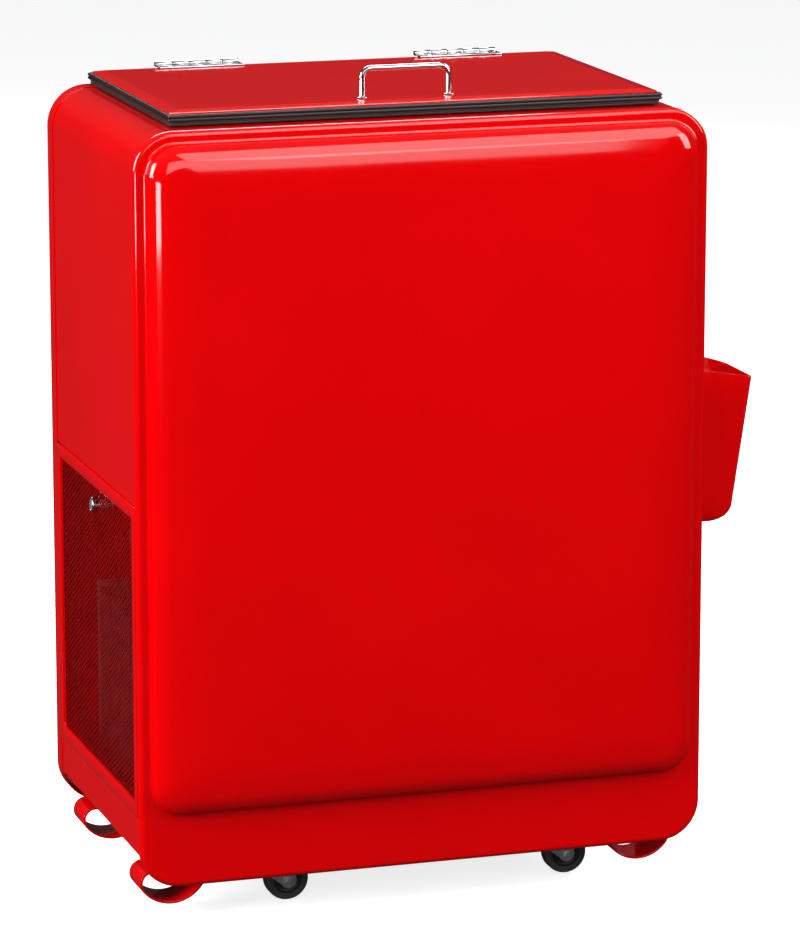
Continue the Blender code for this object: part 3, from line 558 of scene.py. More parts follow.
def expanded_tree():
    """Rows of zigzag strand, every other one upside down so that neighbours meet in diamonds."""
    tree = tree_of(
        "expanded_metal",
        [
            ("Corners", "Int", 55),
            ("Rows", "Int", 100),
            ("Long Way", "Float", 0.0127),
            ("Short Way", "Float", 0.0065),
            ("Strand", "Float", 0.0015),
            ("Gauge", "Float", 0.0009),
            ("Twist", "Float", 0.5),
            ("Finish", "Material", None),
        ],
    )
    given = node(tree, "NodeGroupInput").outputs
    half_long = node(tree, "ShaderNodeMath", [(0, given["Long Way"])], operation="DIVIDE")
    half_long.inputs[1].default_value = 2
    step = node(tree, "ShaderNodeCombineXYZ", [("Y", half_long.outputs[0])])
    line = node(tree, "GeometryNodeMeshLine", [("Count", given["Corners"]), ("Offset", step.outputs[0])])
    index = node(tree, "GeometryNodeInputIndex")
    odd = node(tree, "ShaderNodeMath", [(0, index.outputs[0])], operation="MODULO")
    odd.inputs[1].default_value = 2
    centred = node(tree, "ShaderNodeMath", [(0, odd.outputs[0])], operation="SUBTRACT")
    centred.inputs[1].default_value = 0.5
    half_short = node(tree, "ShaderNodeMath", [(0, given["Short Way"])], operation="DIVIDE")
    half_short.inputs[1].default_value = 2
    rise = node(
        tree, "ShaderNodeMath", [(0, centred.outputs[0]), (1, half_short.outputs[0])], operation="MULTIPLY"
    )
    lift = node(tree, "ShaderNodeCombineXYZ", [("Z", rise.outputs[0])])
    zigzag = node(
        tree, "GeometryNodeSetPosition", [("Geometry", line.outputs[0]), ("Offset", lift.outputs[0])]
    )
    path = node(tree, "GeometryNodeMeshToCurve", [("Mesh", zigzag.outputs[0])])
    tilted = node(tree, "GeometryNodeSetCurveTilt", [("Curve", path.outputs[0]), ("Tilt", given["Twist"])])
    section = node(
        tree, "GeometryNodeCurvePrimitiveQuadrilateral", [
            ("Width", given["Gauge"]), ("Height", given["Strand"])
        ]
    )
    row = node(
        tree,
        "GeometryNodeCurveToMesh",
        [("Curve", tilted.outputs[0]), ("Profile Curve", section.outputs[0])],
        fill_caps=True,
    )
    up = node(tree, "ShaderNodeCombineXYZ", [("Z", half_short.outputs[0])])
    rows = node(tree, "GeometryNodeMeshLine", [("Count", given["Rows"]), ("Offset", up.outputs[0])])
    other = node(tree, "GeometryNodeInputIndex")
    parity = node(tree, "ShaderNodeMath", [(0, other.outputs[0])], operation="MODULO")
    parity.inputs[1].default_value = 2
    slide = node(
        tree, "ShaderNodeMath", [(0, parity.outputs[0]), (1, half_long.outputs[0])], operation="MULTIPLY"
    )
    along = node(tree, "ShaderNodeCombineXYZ", [("Y", slide.outputs[0])])
    staggered = node(
        tree, "GeometryNodeSetPosition", [("Geometry", rows.outputs[0]), ("Offset", along.outputs[0])]
    )
    placed = node(
        tree, "GeometryNodeInstanceOnPoints", [
            ("Points", staggered.outputs[0]), ("Instance", row.outputs[0])
        ]
    )
    ended(tree, placed.outputs[0], given["Finish"])
    return tree


def fins_tree():
    """Thin plates side by side."""
    tree = tree_of(
        "fins",
        [
            ("Count", "Int", 90),
            ("Pitch", "Float", 0.0032),
            ("Size", "Vector", None),
            ("Finish", "Material", None),
        ],
    )
    given = node(tree, "NodeGroupInput").outputs
    step = node(tree, "ShaderNodeCombineXYZ", [("Y", given["Pitch"])])
    line = node(tree, "GeometryNodeMeshLine", [("Count", given["Count"]), ("Offset", step.outputs[0])])
    fin = node(tree, "GeometryNodeMeshCube", [("Size", given["Size"])])
    placed = node(
        tree, "GeometryNodeInstanceOnPoints", [("Points", line.outputs[0]), ("Instance", fin.outputs[0])]
    )
    ended(tree, placed.outputs[0], given["Finish"])
    return tree


def on_points(shape, points, axis, look):
    """Copies of a shape on points, its +Z turned to an axis."""
    bm = bmesh.new()
    for point in points:
        bm.verts.new(point)
    model = scratch(shape)
    tree = bpy.data.node_groups.get("copies_on_points") or copies_tree()
    mesh = grown(tree, to_mesh(bm), look, copy=model, turn=TURN_TO[axis].to_euler())
    bpy.data.objects.remove(model)
    return mesh


def screw_head(radius=3.6, height=1.6):
    """A cross-recessed round head with its seat at z = 0. Sizes in millimetres."""
    dome = turned(
        [
            (0, -1),
            (radius * 0.9, -1),
            (radius, 0),
            (radius * 0.94, height * 0.45),
            (radius * 0.7, height * 0.85),
            (0, height),
        ],
        steps=24,
    )
    arm = radius * 0.62 * MM
    slots = [
        box((-arm, -0.45 * MM, height * 0.35 * MM), (arm, 0.45 * MM, 4 * MM)),
        box((-0.45 * MM, -arm, height * 0.35 * MM), (0.45 * MM, arm, 4 * MM)),
    ]
    return boolean(dome, "DIFFERENCE", *slots)


# The case


def panel_ring(inset, y, outward_sign):
    outline = rounded(
        -HALF_W + inset, HALF_W - inset, CASE_LOW.z + inset, CASE_TOP.z - inset, CORNER_R - inset
    )
    return [(x, y, z) for x, z in (outline if outward_sign < 0 else outline[::-1])]


PILLOW = (323 * MM, 139 * MM, 901 * MM, 36 * MM)  # half width, low, high, corner radius


def pillow_ring(inset, y):
    half, low, high, radius = PILLOW
    corner = radius - inset / 2 if inset < 24 * MM else 24 * MM + (inset - 24 * MM) * 0.25
    corner = min(corner, half - inset - 2 * MM)
    return [(x, y, z) for x, z in rounded(-half + inset, half - inset, low + inset, high - inset, corner)]


def edge_profile(steps=8):
    return [
        (EDGE_R * (1 - cos(radians(90 * k / steps))), EDGE_R * (1 - sin(radians(90 * k / steps))))
        for k in range(steps + 1)
    ]


def make_front_panel(settings):
    rings = [panel_ring(0, 8 * MM, -1)]
    rings += [panel_ring(inset, depth, -1) for inset, depth in edge_profile()]
    rings.append(panel_ring(9 * MM, 0, -1))
    rings += [pillow_ring(-1.5 * MM, 0), pillow_ring(-0.5 * MM, -0.15 * MM)]
    proud = settings.pillow_proud
    for k in range(4):
        turn = radians(90 * k / 3)
        rings.append(pillow_ring(1.8 * MM * sin(turn), -0.4 * MM - 2.2 * MM * (1 - cos(turn))))
    # The roll stops short of square and eases on into the flat
    start, stop, ease, rise = -2.6 * MM, radians(78), 42 * MM, 3.2 * MM
    reach = proud - rise + start
    for k in range(1, 15):
        turn = stop * k / 14
        inset = 2 * MM + 22 * MM * (1 - cos(turn)) / (1 - cos(stop))
        rings.append(pillow_ring(inset, start - reach * sin(turn) / sin(stop)))
    for k in range(1, 7):
        share = k / 6
        rings.append(pillow_ring(24 * MM + ease * share, rise - proud - rise * (2 * share - share**2)))
    for k in range(1, 9):
        share = k / 8
        inset = 24 * MM + ease + (288 * MM - ease) * share
        rings.append(pillow_ring(inset, -proud - settings.pillow_crown * sin(radians(90 * share))))
    piece(
        "front_pressing",
        sheet(loft(rings, end_cap=True), SHEET),
        "baked_red_enamel",
        "case",
        "front_panel",
    )


def make_rear_panel():
    rings = [panel_ring(0, DEPTH - 28 * MM, 1)]
    rings += [panel_ring(inset, DEPTH - depth, 1) for inset, depth in edge_profile()]
    rings += [panel_ring(inset, DEPTH, 1) for inset in (9 * MM, 40 * MM)]
    gland = (cad("cord_gland")[0] + cad("cord_gland")[1]) / 2
    drain = (cad("drain_pipe")[0] + cad("drain_pipe")[1]) / 2
    holes = [
        rod(8 * MM, (gland.x, DEPTH - 20 * MM, gland.z), 40 * MM, "y"),
        rod(12.4 * MM, (drain.x, DEPTH - 20 * MM, 430 * MM), 40 * MM, "y"),
    ]
    panel = boolean(sheet(loft(rings, end_cap=True), SHEET), "DIFFERENCE", *holes)
    piece("rear_pressing", panel, "baked_red_enamel", "case", "rear_panel")
    places = [(x * MM, DEPTH, z * MM) for x in (-300, -100, 100, 300) for z in (96, 560)]
    heads = on_points(screw_head(), places, "y", "bright_zinc_plate")
    piece("rear_panel_screws", heads, "bright_zinc_plate", "case", smooth=50)


def make_wrapper():
    wrap_half = HALF_W - 1 * MM
    arc_r = CORNER_R - 1 * MM
    middle, height = HALF_W - CORNER_R, DECK - arc_r
    front, back = WRAPPER[0][1] - SHIFT.y, WRAPPER[1][1] - SHIFT.y
    low_left = VENT_HIGH.z + 0.6 * MM
    path = [
        (-wrap_half + 14 * MM, low_left),
        (-wrap_half + 1.5 * MM, low_left),
        (-wrap_half, low_left + 1.5 * MM),
    ]
    path += [(-wrap_half, low_left + (height - low_left) * k / 6) for k in range(1, 6)]
    path += arc((-middle, height), arc_r, 180, 90, 20)
    path += arc((middle, height), arc_r, 90, 0, 20)
    low_right = cad("body_wrapper")[0].z
    path += [(wrap_half, height + (low_right - height) * k / 8) for k in range(1, 9)]
    wrapper = sheet(strip(path, "xz", front, back), SHEET)
    hole = loft(
        [
            flat_ring(262 * MM, 50 * MM, 352 * MM, 20 * MM, z) for z in (DECK - 20 * MM, DECK + 20 * MM)
        ], True, True
    )
    piece(
        "wrapped_sides_and_deck",
        boolean(wrapper, "DIFFERENCE", hole),
        "baked_red_enamel",
        "case",
        "body_wrapper",
    )
    low, high = cad("left_sill_panel")
    lip = -high.x
    path = [(-lip, low.z), (-wrap_half + 1 * MM, low.z), (-wrap_half, low.z + 1 * MM)]
    path += [(-wrap_half, high.z - 1 * MM), (-wrap_half + 1 * MM, high.z), (-lip, high.z)]
    slots = [
        box((-331.5 * MM, y - 12 * MM, high.z - 5 * MM), (-325 * MM, y + 12 * MM, high.z + 5 * MM))
        for y in (90 * MM, 290 * MM)
    ]
    sill = boolean(sheet(strip(path, "xz", front, back), SHEET), "DIFFERENCE", *slots)
    piece("left_sill", sill, "baked_red_enamel", "case", "left_sill_panel")


# The tub


def make_tub():
    mouth = 906.6 * MM
    sizes = [
        (261.0, 51.0, 351.0, 20.0, 906.6),
        (254.0, 58.0, 344.0, 19.2, 906.6),
        (252.0, 60.0, 342.0, 19.0, 906.2),
        (250.6, 61.4, 340.6, 18.4, 905.0),
        (250.0, 62.0, 340.0, 18.0, 903.6),
        (244.2, 66.8, 335.2, 23.0, 700.0),
        (240.0, 70.0, 332.0, 26.0, 572.0),
        (239.0, 71.0, 331.0, 25.6, 567.0),
        (236.5, 73.5, 328.5, 24.0, 563.5),
        (233.0, 77.0, 325.0, 22.0, 561.2),
        (228.0, 82.0, 320.0, 20.0, 560.2),
        (222.0, 88.0, 314.0, 18.0, 560.0),
    ]
    rings = [flat_ring(h * MM, a * MM, b * MM, r * MM, z * MM)[::-1] for h, a, b, r, z in sizes]
    shell = sheet(loft(rings, end_cap=True), 1.5 * MM, 1.0)
    plug = (cad("drain_plug")[0] + cad("drain_plug")[1]) / 2
    shell = boolean(shell, "DIFFERENCE", rod(13 * MM, (plug.x, plug.y, TUB_FLOOR - 10 * MM), 20 * MM))
    piece("tub", shell, "white_polystyrene", "case", "inner_liner")
    low, high = mouth + 0.6 * MM, DECK
    section = [(0.8, 0), (6.4, 0), (7.2, 0.8), (7.2, 5), (6.4, 5.8), (0.8, 5.8), (0, 5), (0, 0.8)]
    section = [(s * MM, low + z * (high - low) / 5.8) for s, z in section]
    throat = outward(band(254.3 * MM, 57.7 * MM, 344.3 * MM, 12 * MM, section))
    piece("throat_moulding", throat, "black_pvc_trim", "case", "throat_frame", smooth=50)
    profile = [
        (0, -7), (10.5, -7), (11.4, -6), (12.3, 0), (16.5, 0), (17, 0.6), (17, 2.4), (16.4, 3), (11, 3.4)
    ]
    profile += [(9.5, 1.4), (4.5, 1.4), (4, 4), (0, 4)]
    cap = turned(profile, (plug.x, plug.y, TUB_FLOOR + GAP), steps=48)
    piece("tub_plug", cap, "nitrile_seal", "case", "drain_plug")


# The lid


def lid_ring(inset, radius, z):
    return [
        (x + LID_X, y, z)
        for x, y in rounded(
            -LID_HALF + inset, LID_HALF - inset, LID_LOW.y + inset, LID_HIGH.y - inset, radius, 10
        )
    ]


def make_lid():
    z = LID_HIGH.z
    rings = [lid_ring(3.6 * MM, 5 * MM, z + 0.4 * MM), lid_ring(3.5 * MM, 5 * MM, z + 1 * MM)]
    rings += [lid_ring(4.2 * MM, 4.6 * MM, z + 1.6 * MM), lid_ring(5.2 * MM, 4 * MM, z + 1.85 * MM)]
    crease_x, crease_front, crease_back = 17 * MM, 19 * MM, 14 * MM
    for inset, height in ((-1.2, -0.18), (0, 0), (1.5, 0.06), (6, 0.08)):
        height = LID_TOP + height * MM - 0.08 * MM
        rings.append([
            (x + LID_X, y, height)
            for x, y in rounded(
                -LID_HALF + crease_x + inset * MM,
                LID_HALF - crease_x - inset * MM,
                LID_LOW.y + crease_front + inset * MM,
                LID_HIGH.y - crease_back - inset * MM,
                3 * MM,
                10,
            )
        ])
    shell = sheet(loft(rings, end_cap=True), 0.9 * MM)
    piece("lid_pressing", shell, "baked_red_enamel", "lid", "lid_shell", smooth=50)
    low = LID_LOW.z
    tall = z - low
    # Two round ribs with a groove between them, mitred at the corners
    section = [(0, low), (12.9 * MM, low)]
    for start in (low, low + tall / 2 + 0.25 * MM):
        rib = tall / 2 - 0.25 * MM
        section += [
            (13.2 * MM + 1.2 * MM * sin(radians(a)), start + rib / 2 - rib / 2 * cos(radians(a)))
            for a in range(15, 180, 25)
        ]
        section.append((12.9 * MM, start + rib + (0.25 * MM if start == low else 0)))
    section.append((0, z))
    inner = LID_HALF - 14.5 * MM
    ring = mitred(inner, LID_LOW.y + 14.5 * MM, LID_HIGH.y - 14.5 * MM, section)
    ring.transform(Matrix.Translation((LID_X, 0, 0)))
    piece("lid_edge_moulding", outward(ring), "black_pvc_trim", "lid", "lid_frame", smooth=50)
    low, high = (corner for corner in cad("lid_gasket"))
    base, tall = low.z, high.z - low.z
    shape = [
        (0, 0),
        (11.6, 0),
        (12.2, 0.5),
        (12.4, 1.3),
        (11.5, 2.2),
        (11.5, 2.7),
        (12.4, 3.6),
        (12.2, 4.6),
        (11.6, 5.1),
        (0, 5.1),
    ]
    section = [(s * MM, base + h / 5.1 * tall) for s, h in shape]
    ring = mitred(274.5 * MM, 46 * MM, 379 * MM, section)
    ring.transform(Matrix.Translation((LID_X, 0, 0)))
    piece("lid_seal", outward(ring), "nitrile_seal", "lid", "lid_gasket", smooth=50)
    core = [
        (238.0, 72.0, 330.0, 13.0, 897.0),
        (240.0, 70.0, 332.0, 14.0, 897.6),
        (242.4, 67.6, 334.4, 15.8, 899.0),
        (244.0, 66.0, 336.0, 17.0, 901.0),
        (244.0, 66.0, 336.0, 17.0, 919.7),
        (274.2, 46.3, 377.7, 2.0, 919.7),
        (274.2, 46.3, 377.7, 2.0, 926.8),
    ]
    rings = [flat_ring(h * MM, a * MM, b * MM, r * MM, z * MM) for h, a, b, r, z in core]
    plug = loft(rings, True, True)
    plug.transform(Matrix.Translation((LID_X, 0, 0)))
    piece("lid_inner_pan", plug, "white_polystyrene", "lid", "lid_liner")
    make_handle()


def make_handle():
    low, high = cad("lid_handle")
    middle, y = (low.x + high.x) / 2, (low.y + high.y) / 2
    wire = 3.25 * MM
    reach = (high.x - low.x) / 2 - wire
    bar = high.z - wire
    bend = 11 * MM
    path = [(-reach, low.z)] + arc((-reach + bend, bar - bend), bend, 180, 90, 14)
    path += [(-x, z) for x, z in path[::-1]]
    legs = tube([(x + middle, y, z) for x, z in path], wire, 32)
    feet = [
        turned(
            [(0, 0), (5.4, 0), (5.6, 0.5), (5, 1.2), (3.3, 1.5), (0, 1.5)],
            (middle + s * reach, y, low.z),
            steps=40,
        )
        for s in (-1, 1)
    ]
    piece("lid_pull", together(legs, *feet), "chrome_plate", "lid", "lid_handle")


def make_hinges():
    for side, pivot in zip(("left", "right"), HINGES):
        low, high = cad(f"{side}_hinge_lid_leaf")
        half = (high.x - low.x) / 2
        pitch = 2 * half / 5
        x, y, z = pivot
        radius = 3.3 * MM
        seat = low.z if low.z > LID_TOP else LID_TOP + GAP
        leaf = bevelled(
            box((x - half, low.y, seat), (x + half, y - radius - 0.2 * MM, seat + 1.5 * MM)), 0.5 * MM, 2
        )
        lid_side = [leaf]
        body_side = []
        for k in range(5):
            start = x - half + k * pitch + 0.2 * MM
            long = pitch - 0.4 * MM
            knuckle = bevelled(rod(radius, (start, y, z), long, "x", 40), 0.4 * MM, 2)
            if k % 2 == 0:
                tongue = box(
                    (start, y - radius - 1.5 * MM, seat), (start + long, y - 0.4 * MM, seat + 1.5 * MM)
                )
                lid_side += [knuckle, tongue]
            else:
                tongue = box((start, y + 1.3 * MM, z - 7 * MM), (start + long, y + 2.8 * MM, z - 0.3 * MM))
                body_side += [knuckle, tongue]
        _, body_high = cad(f"{side}_hinge_body_leaf")
        back = body_high.y - 0.75 * MM
        front = y + 2.05 * MM
        path = [(front, 928.9 * MM), (front, 921 * MM)] + [
            (front + (back - front) * (1 - cos(a)) / 2, 921 * MM - 7 * MM * a / pi)
            for a in (pi * k / 8 for k in range(1, 8))
        ]
        path += [(back, 914 * MM), (back, 884 * MM)]
        formed = sheet(strip(path, "yz", x - half, x + half), 1.5 * MM, 0.0)
        body_side.append(bevelled(formed, 0.35 * MM, 2, 50))
        chrome = "chrome_plate"
        piece(
            f"{side}_hinge_upper",
            together(*lid_side),
            chrome,
            "lid",
            f"{side}_hinge_lid_leaf",
        )
        piece(
            f"{side}_hinge_lower",
            together(*body_side),
            chrome,
            "case",
            f"{side}_hinge_body_leaf",
        )
        pin = turned(
            [
                (0, -half / MM),
                (1.0, -half / MM),
                (1.2, -half / MM + 0.3),
                (1.2, half / MM - 0.3),
                (1.0, half / MM),
                (0, half / MM),
            ],
            pivot,
            "x",
            24,
        )
        piece(f"{side}_hinge_rod", pin, chrome, "lid", f"{side}_hinge_pin")
        top = [(x + i * 36 * MM, low.y + 9 * MM, seat + 1.5 * MM) for i in (-1, 0, 1)]
        piece(
            f"{side}_hinge_lid_screws",
            on_points(screw_head(3.0, 0.35), top, "z", chrome),
            chrome,
            "lid",
            smooth=50,
        )
        rear = [(x + i * 36 * MM, body_high.y, 894 * MM) for i in (-1, 0, 1)]
        piece(
            f"{side}_hinge_case_screws",
            on_points(screw_head(3.0, 0.35), rear, "y", chrome),
            chrome,
            "case",
            smooth=50,
        )


# The mesh panel


def side_ring(y_low, y_high, z_low, z_high, radius, x):
    return [(x, y, z) for y, z in rounded(y_low, y_high, z_low, z_high, radius, 6)]


WINDOW = (22 * MM, 354 * MM, 153.5 * MM, 480 * MM)


def make_vent(settings):
    face = VENT_LOW.x
    y0, y1, z0, z1 = VENT_LOW.y, VENT_HIGH.y, 134.9 * MM, VENT_HIGH.z
    rings = [side_ring(*WINDOW, 4 * MM, face + 4 * MM)]
    rings += [
        side_ring(WINDOW[0] - d, WINDOW[1] + d, WINDOW[2] - d, WINDOW[3] + d, 4 * MM + d, face + h)
        for d, h in ((0, 1.5 * MM), (0.45 * MM, 0.45 * MM), (1.5 * MM, 0))
    ]
    rings += [
        side_ring(y0 + d, y1 - d, z0 + d, z1 - d, max(3 * MM - d, 1 * MM), face + h)
        for d, h in ((2 * MM, 0), (0.6 * MM, 0.6 * MM), (0, 2 * MM), (0, 10 * MM))
    ]
    shell = sheet(loft(rings), SHEET)
    tabs = [
        box((-330.6 * MM, y - 10 * MM, z0 - 6 * MM), (-329.4 * MM, y + 10 * MM, z0 + 1 * MM)) for y in (
            90 * MM, 290 * MM
        )
    ]
    frame_mesh = together(shell, *tabs)
    piece("vent_surround", frame_mesh, "baked_red_enamel", "vent_panel", "vent_frame")
    low, high = cad("vent_mesh")
    long_way, short_way = settings.mesh_long_way, settings.mesh_short_way
    corners = int((high.y - low.y - 2 * MM) / (long_way / 2))
    rows = int((high.z - low.z - 2 * MM) / (short_way / 2))
    look = "enamelled_expanded_steel"
    tree = bpy.data.node_groups.get("expanded_metal") or expanded_tree()
    bm = bmesh.new()
    mesh = grown(
        tree, to_mesh(bm), look, corners=corners, rows=rows, long_way=long_way, short_way=short_way,
        strand=settings.mesh_strand, gauge=0.4 * MM, twist=0.0,
    )
    mesh.transform(Matrix.Translation(((low.x + high.x) / 2, low.y + 1.5 * MM, low.z + 2 * MM)))
    # The cut edges of the mesh are folded into a thin welded border
    border = outward(loft([
        side_ring(low.y, high.y, low.z, high.z, 2 * MM, low.x),
        side_ring(low.y, high.y, low.z, high.z, 2 * MM, high.x),
        side_ring(low.y + 7 * MM, high.y - 7 * MM, low.z + 7 * MM, high.z - 7 * MM, 2 * MM, high.x),
        side_ring(low.y + 7 * MM, high.y - 7 * MM, low.z + 7 * MM, high.z - 7 * MM, 2 * MM, low.x),
    ], closed=True))
    piece(
        "vent_expanded_mesh", together(mesh, border), look, "vent_panel", "vent_mesh", smooth=30
    )
    make_lock()


def make_lock():
    x, y, z = LOCK
    profile = [
        (6.9, 0.6),
        (7.1, 0.1),
        (8.0, 0),
        (8.7, 0.4),
        (9, 1.2),
        (9, 3.6),
        (8.8, 4.2),
        (8.8, 11.5),
        (12, 11.5),
        (12, 14.5),
        (8.8, 14.5),
        (8.8, 22.5),
        (6.9, 22.5),
    ]
    piece(
        "lock_barrel",
        turned(profile, (x, y, z), "x", 48),
        "chrome_plate",
        "vent_panel",
        "lock_housing",
    )
    plug = bevelled(rod(6.6 * MM, (x + 0.3 * MM, y, z), 22.5 * MM, "x", 48), 0.4 * MM, 2)
    slot = box((x - 1 * MM, y - 1.1 * MM, z - 5.4 * MM), (x + 4 * MM, y + 1.1 * MM, z + 5.4 * MM))
    piece(
        "lock_plug",
        boolean(plug, "DIFFERENCE", slot),
        "bright_zinc_plate",
        "lock",
        "lock_cylinder",
    )
    low, high = cad("lock_cam")
    tip = high.y - y - 5 * MM
    outline = arc((0, 0), 8 * MM, 90, 270, 16) + arc((tip, 0), 5 * MM, -90, 90, 12)
    basis = Matrix(((0, 0, 1, (low.x + high.x) / 2), (1, 0, 0, y), (0, 1, 0, z), (0, 0, 0, 1)))
    cam = bevelled(plate(outline, 2 * MM, basis), 0.35 * MM, 2)
    nut = bevelled(rod(5.5 * MM, (high.x - 0.1 * MM, y, z), 3 * MM, "x", 6), 0.4 * MM, 2)
    piece("lock_tongue", together(cam, nut), "bright_zinc_plate", "lock", "lock_cam")


# The undercarriage


def foot_path(level):
    centre, radius = (-283 * MM, 63 * MM), 42.1 * MM
    bend, curl = 6 * MM, 13.5 * MM
    start, turn = -18, 38.3
    join = arc(centre, radius, start, start, 1)[0]
    drop = (level - bend + bend * sin(radians(180 + start))) - join[1]
    slack = drop / cos(radians(start))
    bend_x = join[0] + bend * cos(radians(start)) - slack * sin(radians(start))
    outer = arc(centre, radius, 180 + turn, 180 + turn, 1)[0]
    curl_centre = (outer[0] + curl * cos(radians(turn)), outer[1] + curl * sin(radians(turn)))
    path = [(-212 * MM, level), (-230 * MM, level)]
    path += arc((bend_x, level - bend), bend, 90, 180 + start, 10)
    path += arc(centre, radius, start, -180 + turn, 48)
    path += arc(curl_centre, curl, -180 + turn, -270, 24)[1:]
    path.append((-262 * MM, path[-1][1]))
    return path


def make_feet():
    for side, sign in (("left", 1), ("right", -1)):
        for place in ("front", "rear"):
            low, high = cad(f"{place}_{side}_foot")
            level = high.z - 1.5 * MM
            own = [(sign * x, z) for x, z in foot_path(level)]
            outer = min(x for x, _ in own) - 1.5 * MM if sign > 0 else max(x for x, _ in own) + 1.5 * MM
            slide = (low.x if sign > 0 else high.x) - outer
            path = [(x + slide, z) for x, z in own]
            strap = sheet(strip(path, "xz", low.y, high.y), 3 * MM, 0.0)
            piece(
                f"{place}_{side}_runner",
                bevelled(strap, 0.7 * MM, 3, 50),
                "baked_red_enamel",
                "case",
                f"{place}_{side}_foot",
            )
            x = sign * -221 * MM + slide
            heads = on_points(
                screw_head(4.6, 2),
                [(x, y, level - 1.5 * MM) for y in (low.y + 13 * MM, high.y - 13 * MM)],
                "-z",
                "bright_zinc_plate",
            )
            piece(
                f"{place}_{side}_runner_screws", heads, "bright_zinc_plate", "case", smooth=50
            )


def fork(trail):
    """A pressed swivel fork about the floor under its axis."""
    crown_top, leg, gauge, wheel_r = 55 * MM, 12 * MM, 2 * MM, 25.4 * MM
    crown = crown_top - gauge
    outline = arc((trail, wheel_r), 9.7 * MM, -150, 40, 28)
    outline += [(24 * MM, crown + 0.5 * MM), (-13 * MM, crown + 0.5 * MM), (-13 * MM, crown - 5 * MM)]
    cheeks = []
    for side in (-1, 1):
        y = side * (leg + gauge / 2)
        cheeks.append(plate(outline, gauge, upright(y)))
    top = box((-13 * MM, -leg - gauge, crown), (24 * MM, leg + gauge, crown_top))
    dish = turned([(0, 53), (19, 53), (20, 53.6), (20, 54.6), (19.4, 55), (0, 55)], steps=64)
    body = bevelled(boolean(top, "UNION", *cheeks), 0.8 * MM, 3, 40)
    return together(body, dish)


def make_casters(settings):
    grooves = [
        (25.4, -6.2),
        (25.4, -3.4),
        (24.7, -3.0),
        (24.7, -2.2),
        (25.4, -1.8),
        (25.4, 1.8),
        (24.7, 2.2),
        (24.7, 3.0),
        (25.4, 3.4),
        (25.4, 6.2),
    ]
    side = [(17.3, -9.9), (21.5, -10.3), (23.4, -10.2), (24.5, -9.2), (25.1, -7.6)]
    profile = [*side, *grooves, *((radius, -across) for radius, across in reversed(side))]
    tyre = turned(profile, axis="y", steps=96)
    # Fine moulded ribs across both side walls
    rib = bevelled(
        box((18.6 * MM, -10.55 * MM, -0.28 * MM), (23 * MM, 10.55 * MM, 0.28 * MM)), 0.12 * MM, 1
    )
    ribs = [
        moved(rib, turn=Matrix.Rotation(2 * pi * k / settings.tyre_ribs, 4, "Y"))
        for k in range(settings.tyre_ribs)
    ]
    tyre = together(tyre, *ribs)
    wall = [
        (16.9, 9.4),
        (16.4, 9.4),
        (15.6, 8.0),
        (9.4, 6.6),
        (8.2, 8.6),
        (7.6, 9.6),
        (7, 11.3),
        (6.6, 11.5),
        (3.4, 11.5),
    ]
    hub = turned(wall + [(radius, -across) for radius, across in wall[::-1]], axis="y", steps=64)
    washer = [(3.3, 0), (7, 0), (7.2, 0.3), (7, 0.8), (3.3, 0.8)]
    for place in ("front", "rear"):
        for side in ("left", "right"):
            name = f"{place}_{side}"
            low, high = cad(f"{name}_tyre")
            wheel = (low + high) / 2
            plate_low, plate_high = cad(f"{name}_plate")
            swivel = (plate_low + plate_high) / 2
            trail = wheel.x - swivel.x
            zinc = "bright_zinc_plate"
            body = moved(fork(trail), (swivel.x, swivel.y, 0))
            piece(f"{name}_fork_pressing", body, zinc, f"{name}_caster", f"{name}_fork")
            grip = 14.3 * MM
            shank = rod(3 * MM, (wheel.x, wheel.y - grip - 1 * MM, wheel.z), 2 * grip + 2 * MM, "y", 32)
            head = bevelled(
                rod(5.2 * MM, (wheel.x, wheel.y - grip - 3.5 * MM, wheel.z), 2.9 * MM, "y", 6), 0.5 * MM, 2
            )
            nut = bevelled(
                rod(5.2 * MM, (wheel.x, wheel.y + grip + 0.6 * MM, wheel.z), 3.9 * MM, "y", 6), 0.5 * MM, 2
            )
            rings = [
                turned(washer, (wheel.x, wheel.y - grip, wheel.z), "-y", 40),
                turned(washer, (wheel.x, wheel.y + grip, wheel.z), "y", 40),
            ]
            piece(
                f"{name}_bolt",
                together(shank, head, nut, *rings),
                zinc,
                f"{name}_caster",
                f"{name}_axle_bolt",
            )
            piece(
                f"{name}_hub",
                moved(hub, wheel),
                "black_nylon",
                f"{name}_wheel",
                f"{name}_wheel_hub",
            )
            piece(
                f"{name}_tread",
                moved(tyre, wheel),
                "tread_rubber",
                f"{name}_wheel",
                f"{name}_tyre",
            )
            top = plate_high.z
            square = outward(
                loft(
                    [
                        [
                            (x + swivel.x, y + swivel.y, z)
                            for x, y in rounded(-29 * MM, 29 * MM, -29 * MM, 29 * MM, 5 * MM, 6)
                        ]
                        for z in (top - 2 * MM, top)
                    ],
                    True,
                    True,
                )
            )
            cup = turned(
                [(0, 55.3), (16.2, 55.3), (17, 55.9), (17, 57.6), (16.4, 59), (0, 59)],
                (swivel.x, swivel.y, 0),
                steps=56,
            )
            piece(
                f"{name}_mounting_plate",
                together(bevelled(square, 0.4 * MM, 2), cup),
                zinc,
                "case",
                f"{name}_plate",
            )
            spots = [
                (swivel.x + i * 22 * MM, swivel.y + j * 22 * MM, top - 2 * MM)
                for i in (-1, 1)
                for j in (-1, 1)
            ]
            piece(
                f"{name}_plate_screws",
                on_points(screw_head(3.6, 1.6), spots, "-z", zinc),
                zinc,
                "case",
                smooth=50,
            )


# The bin and the opener


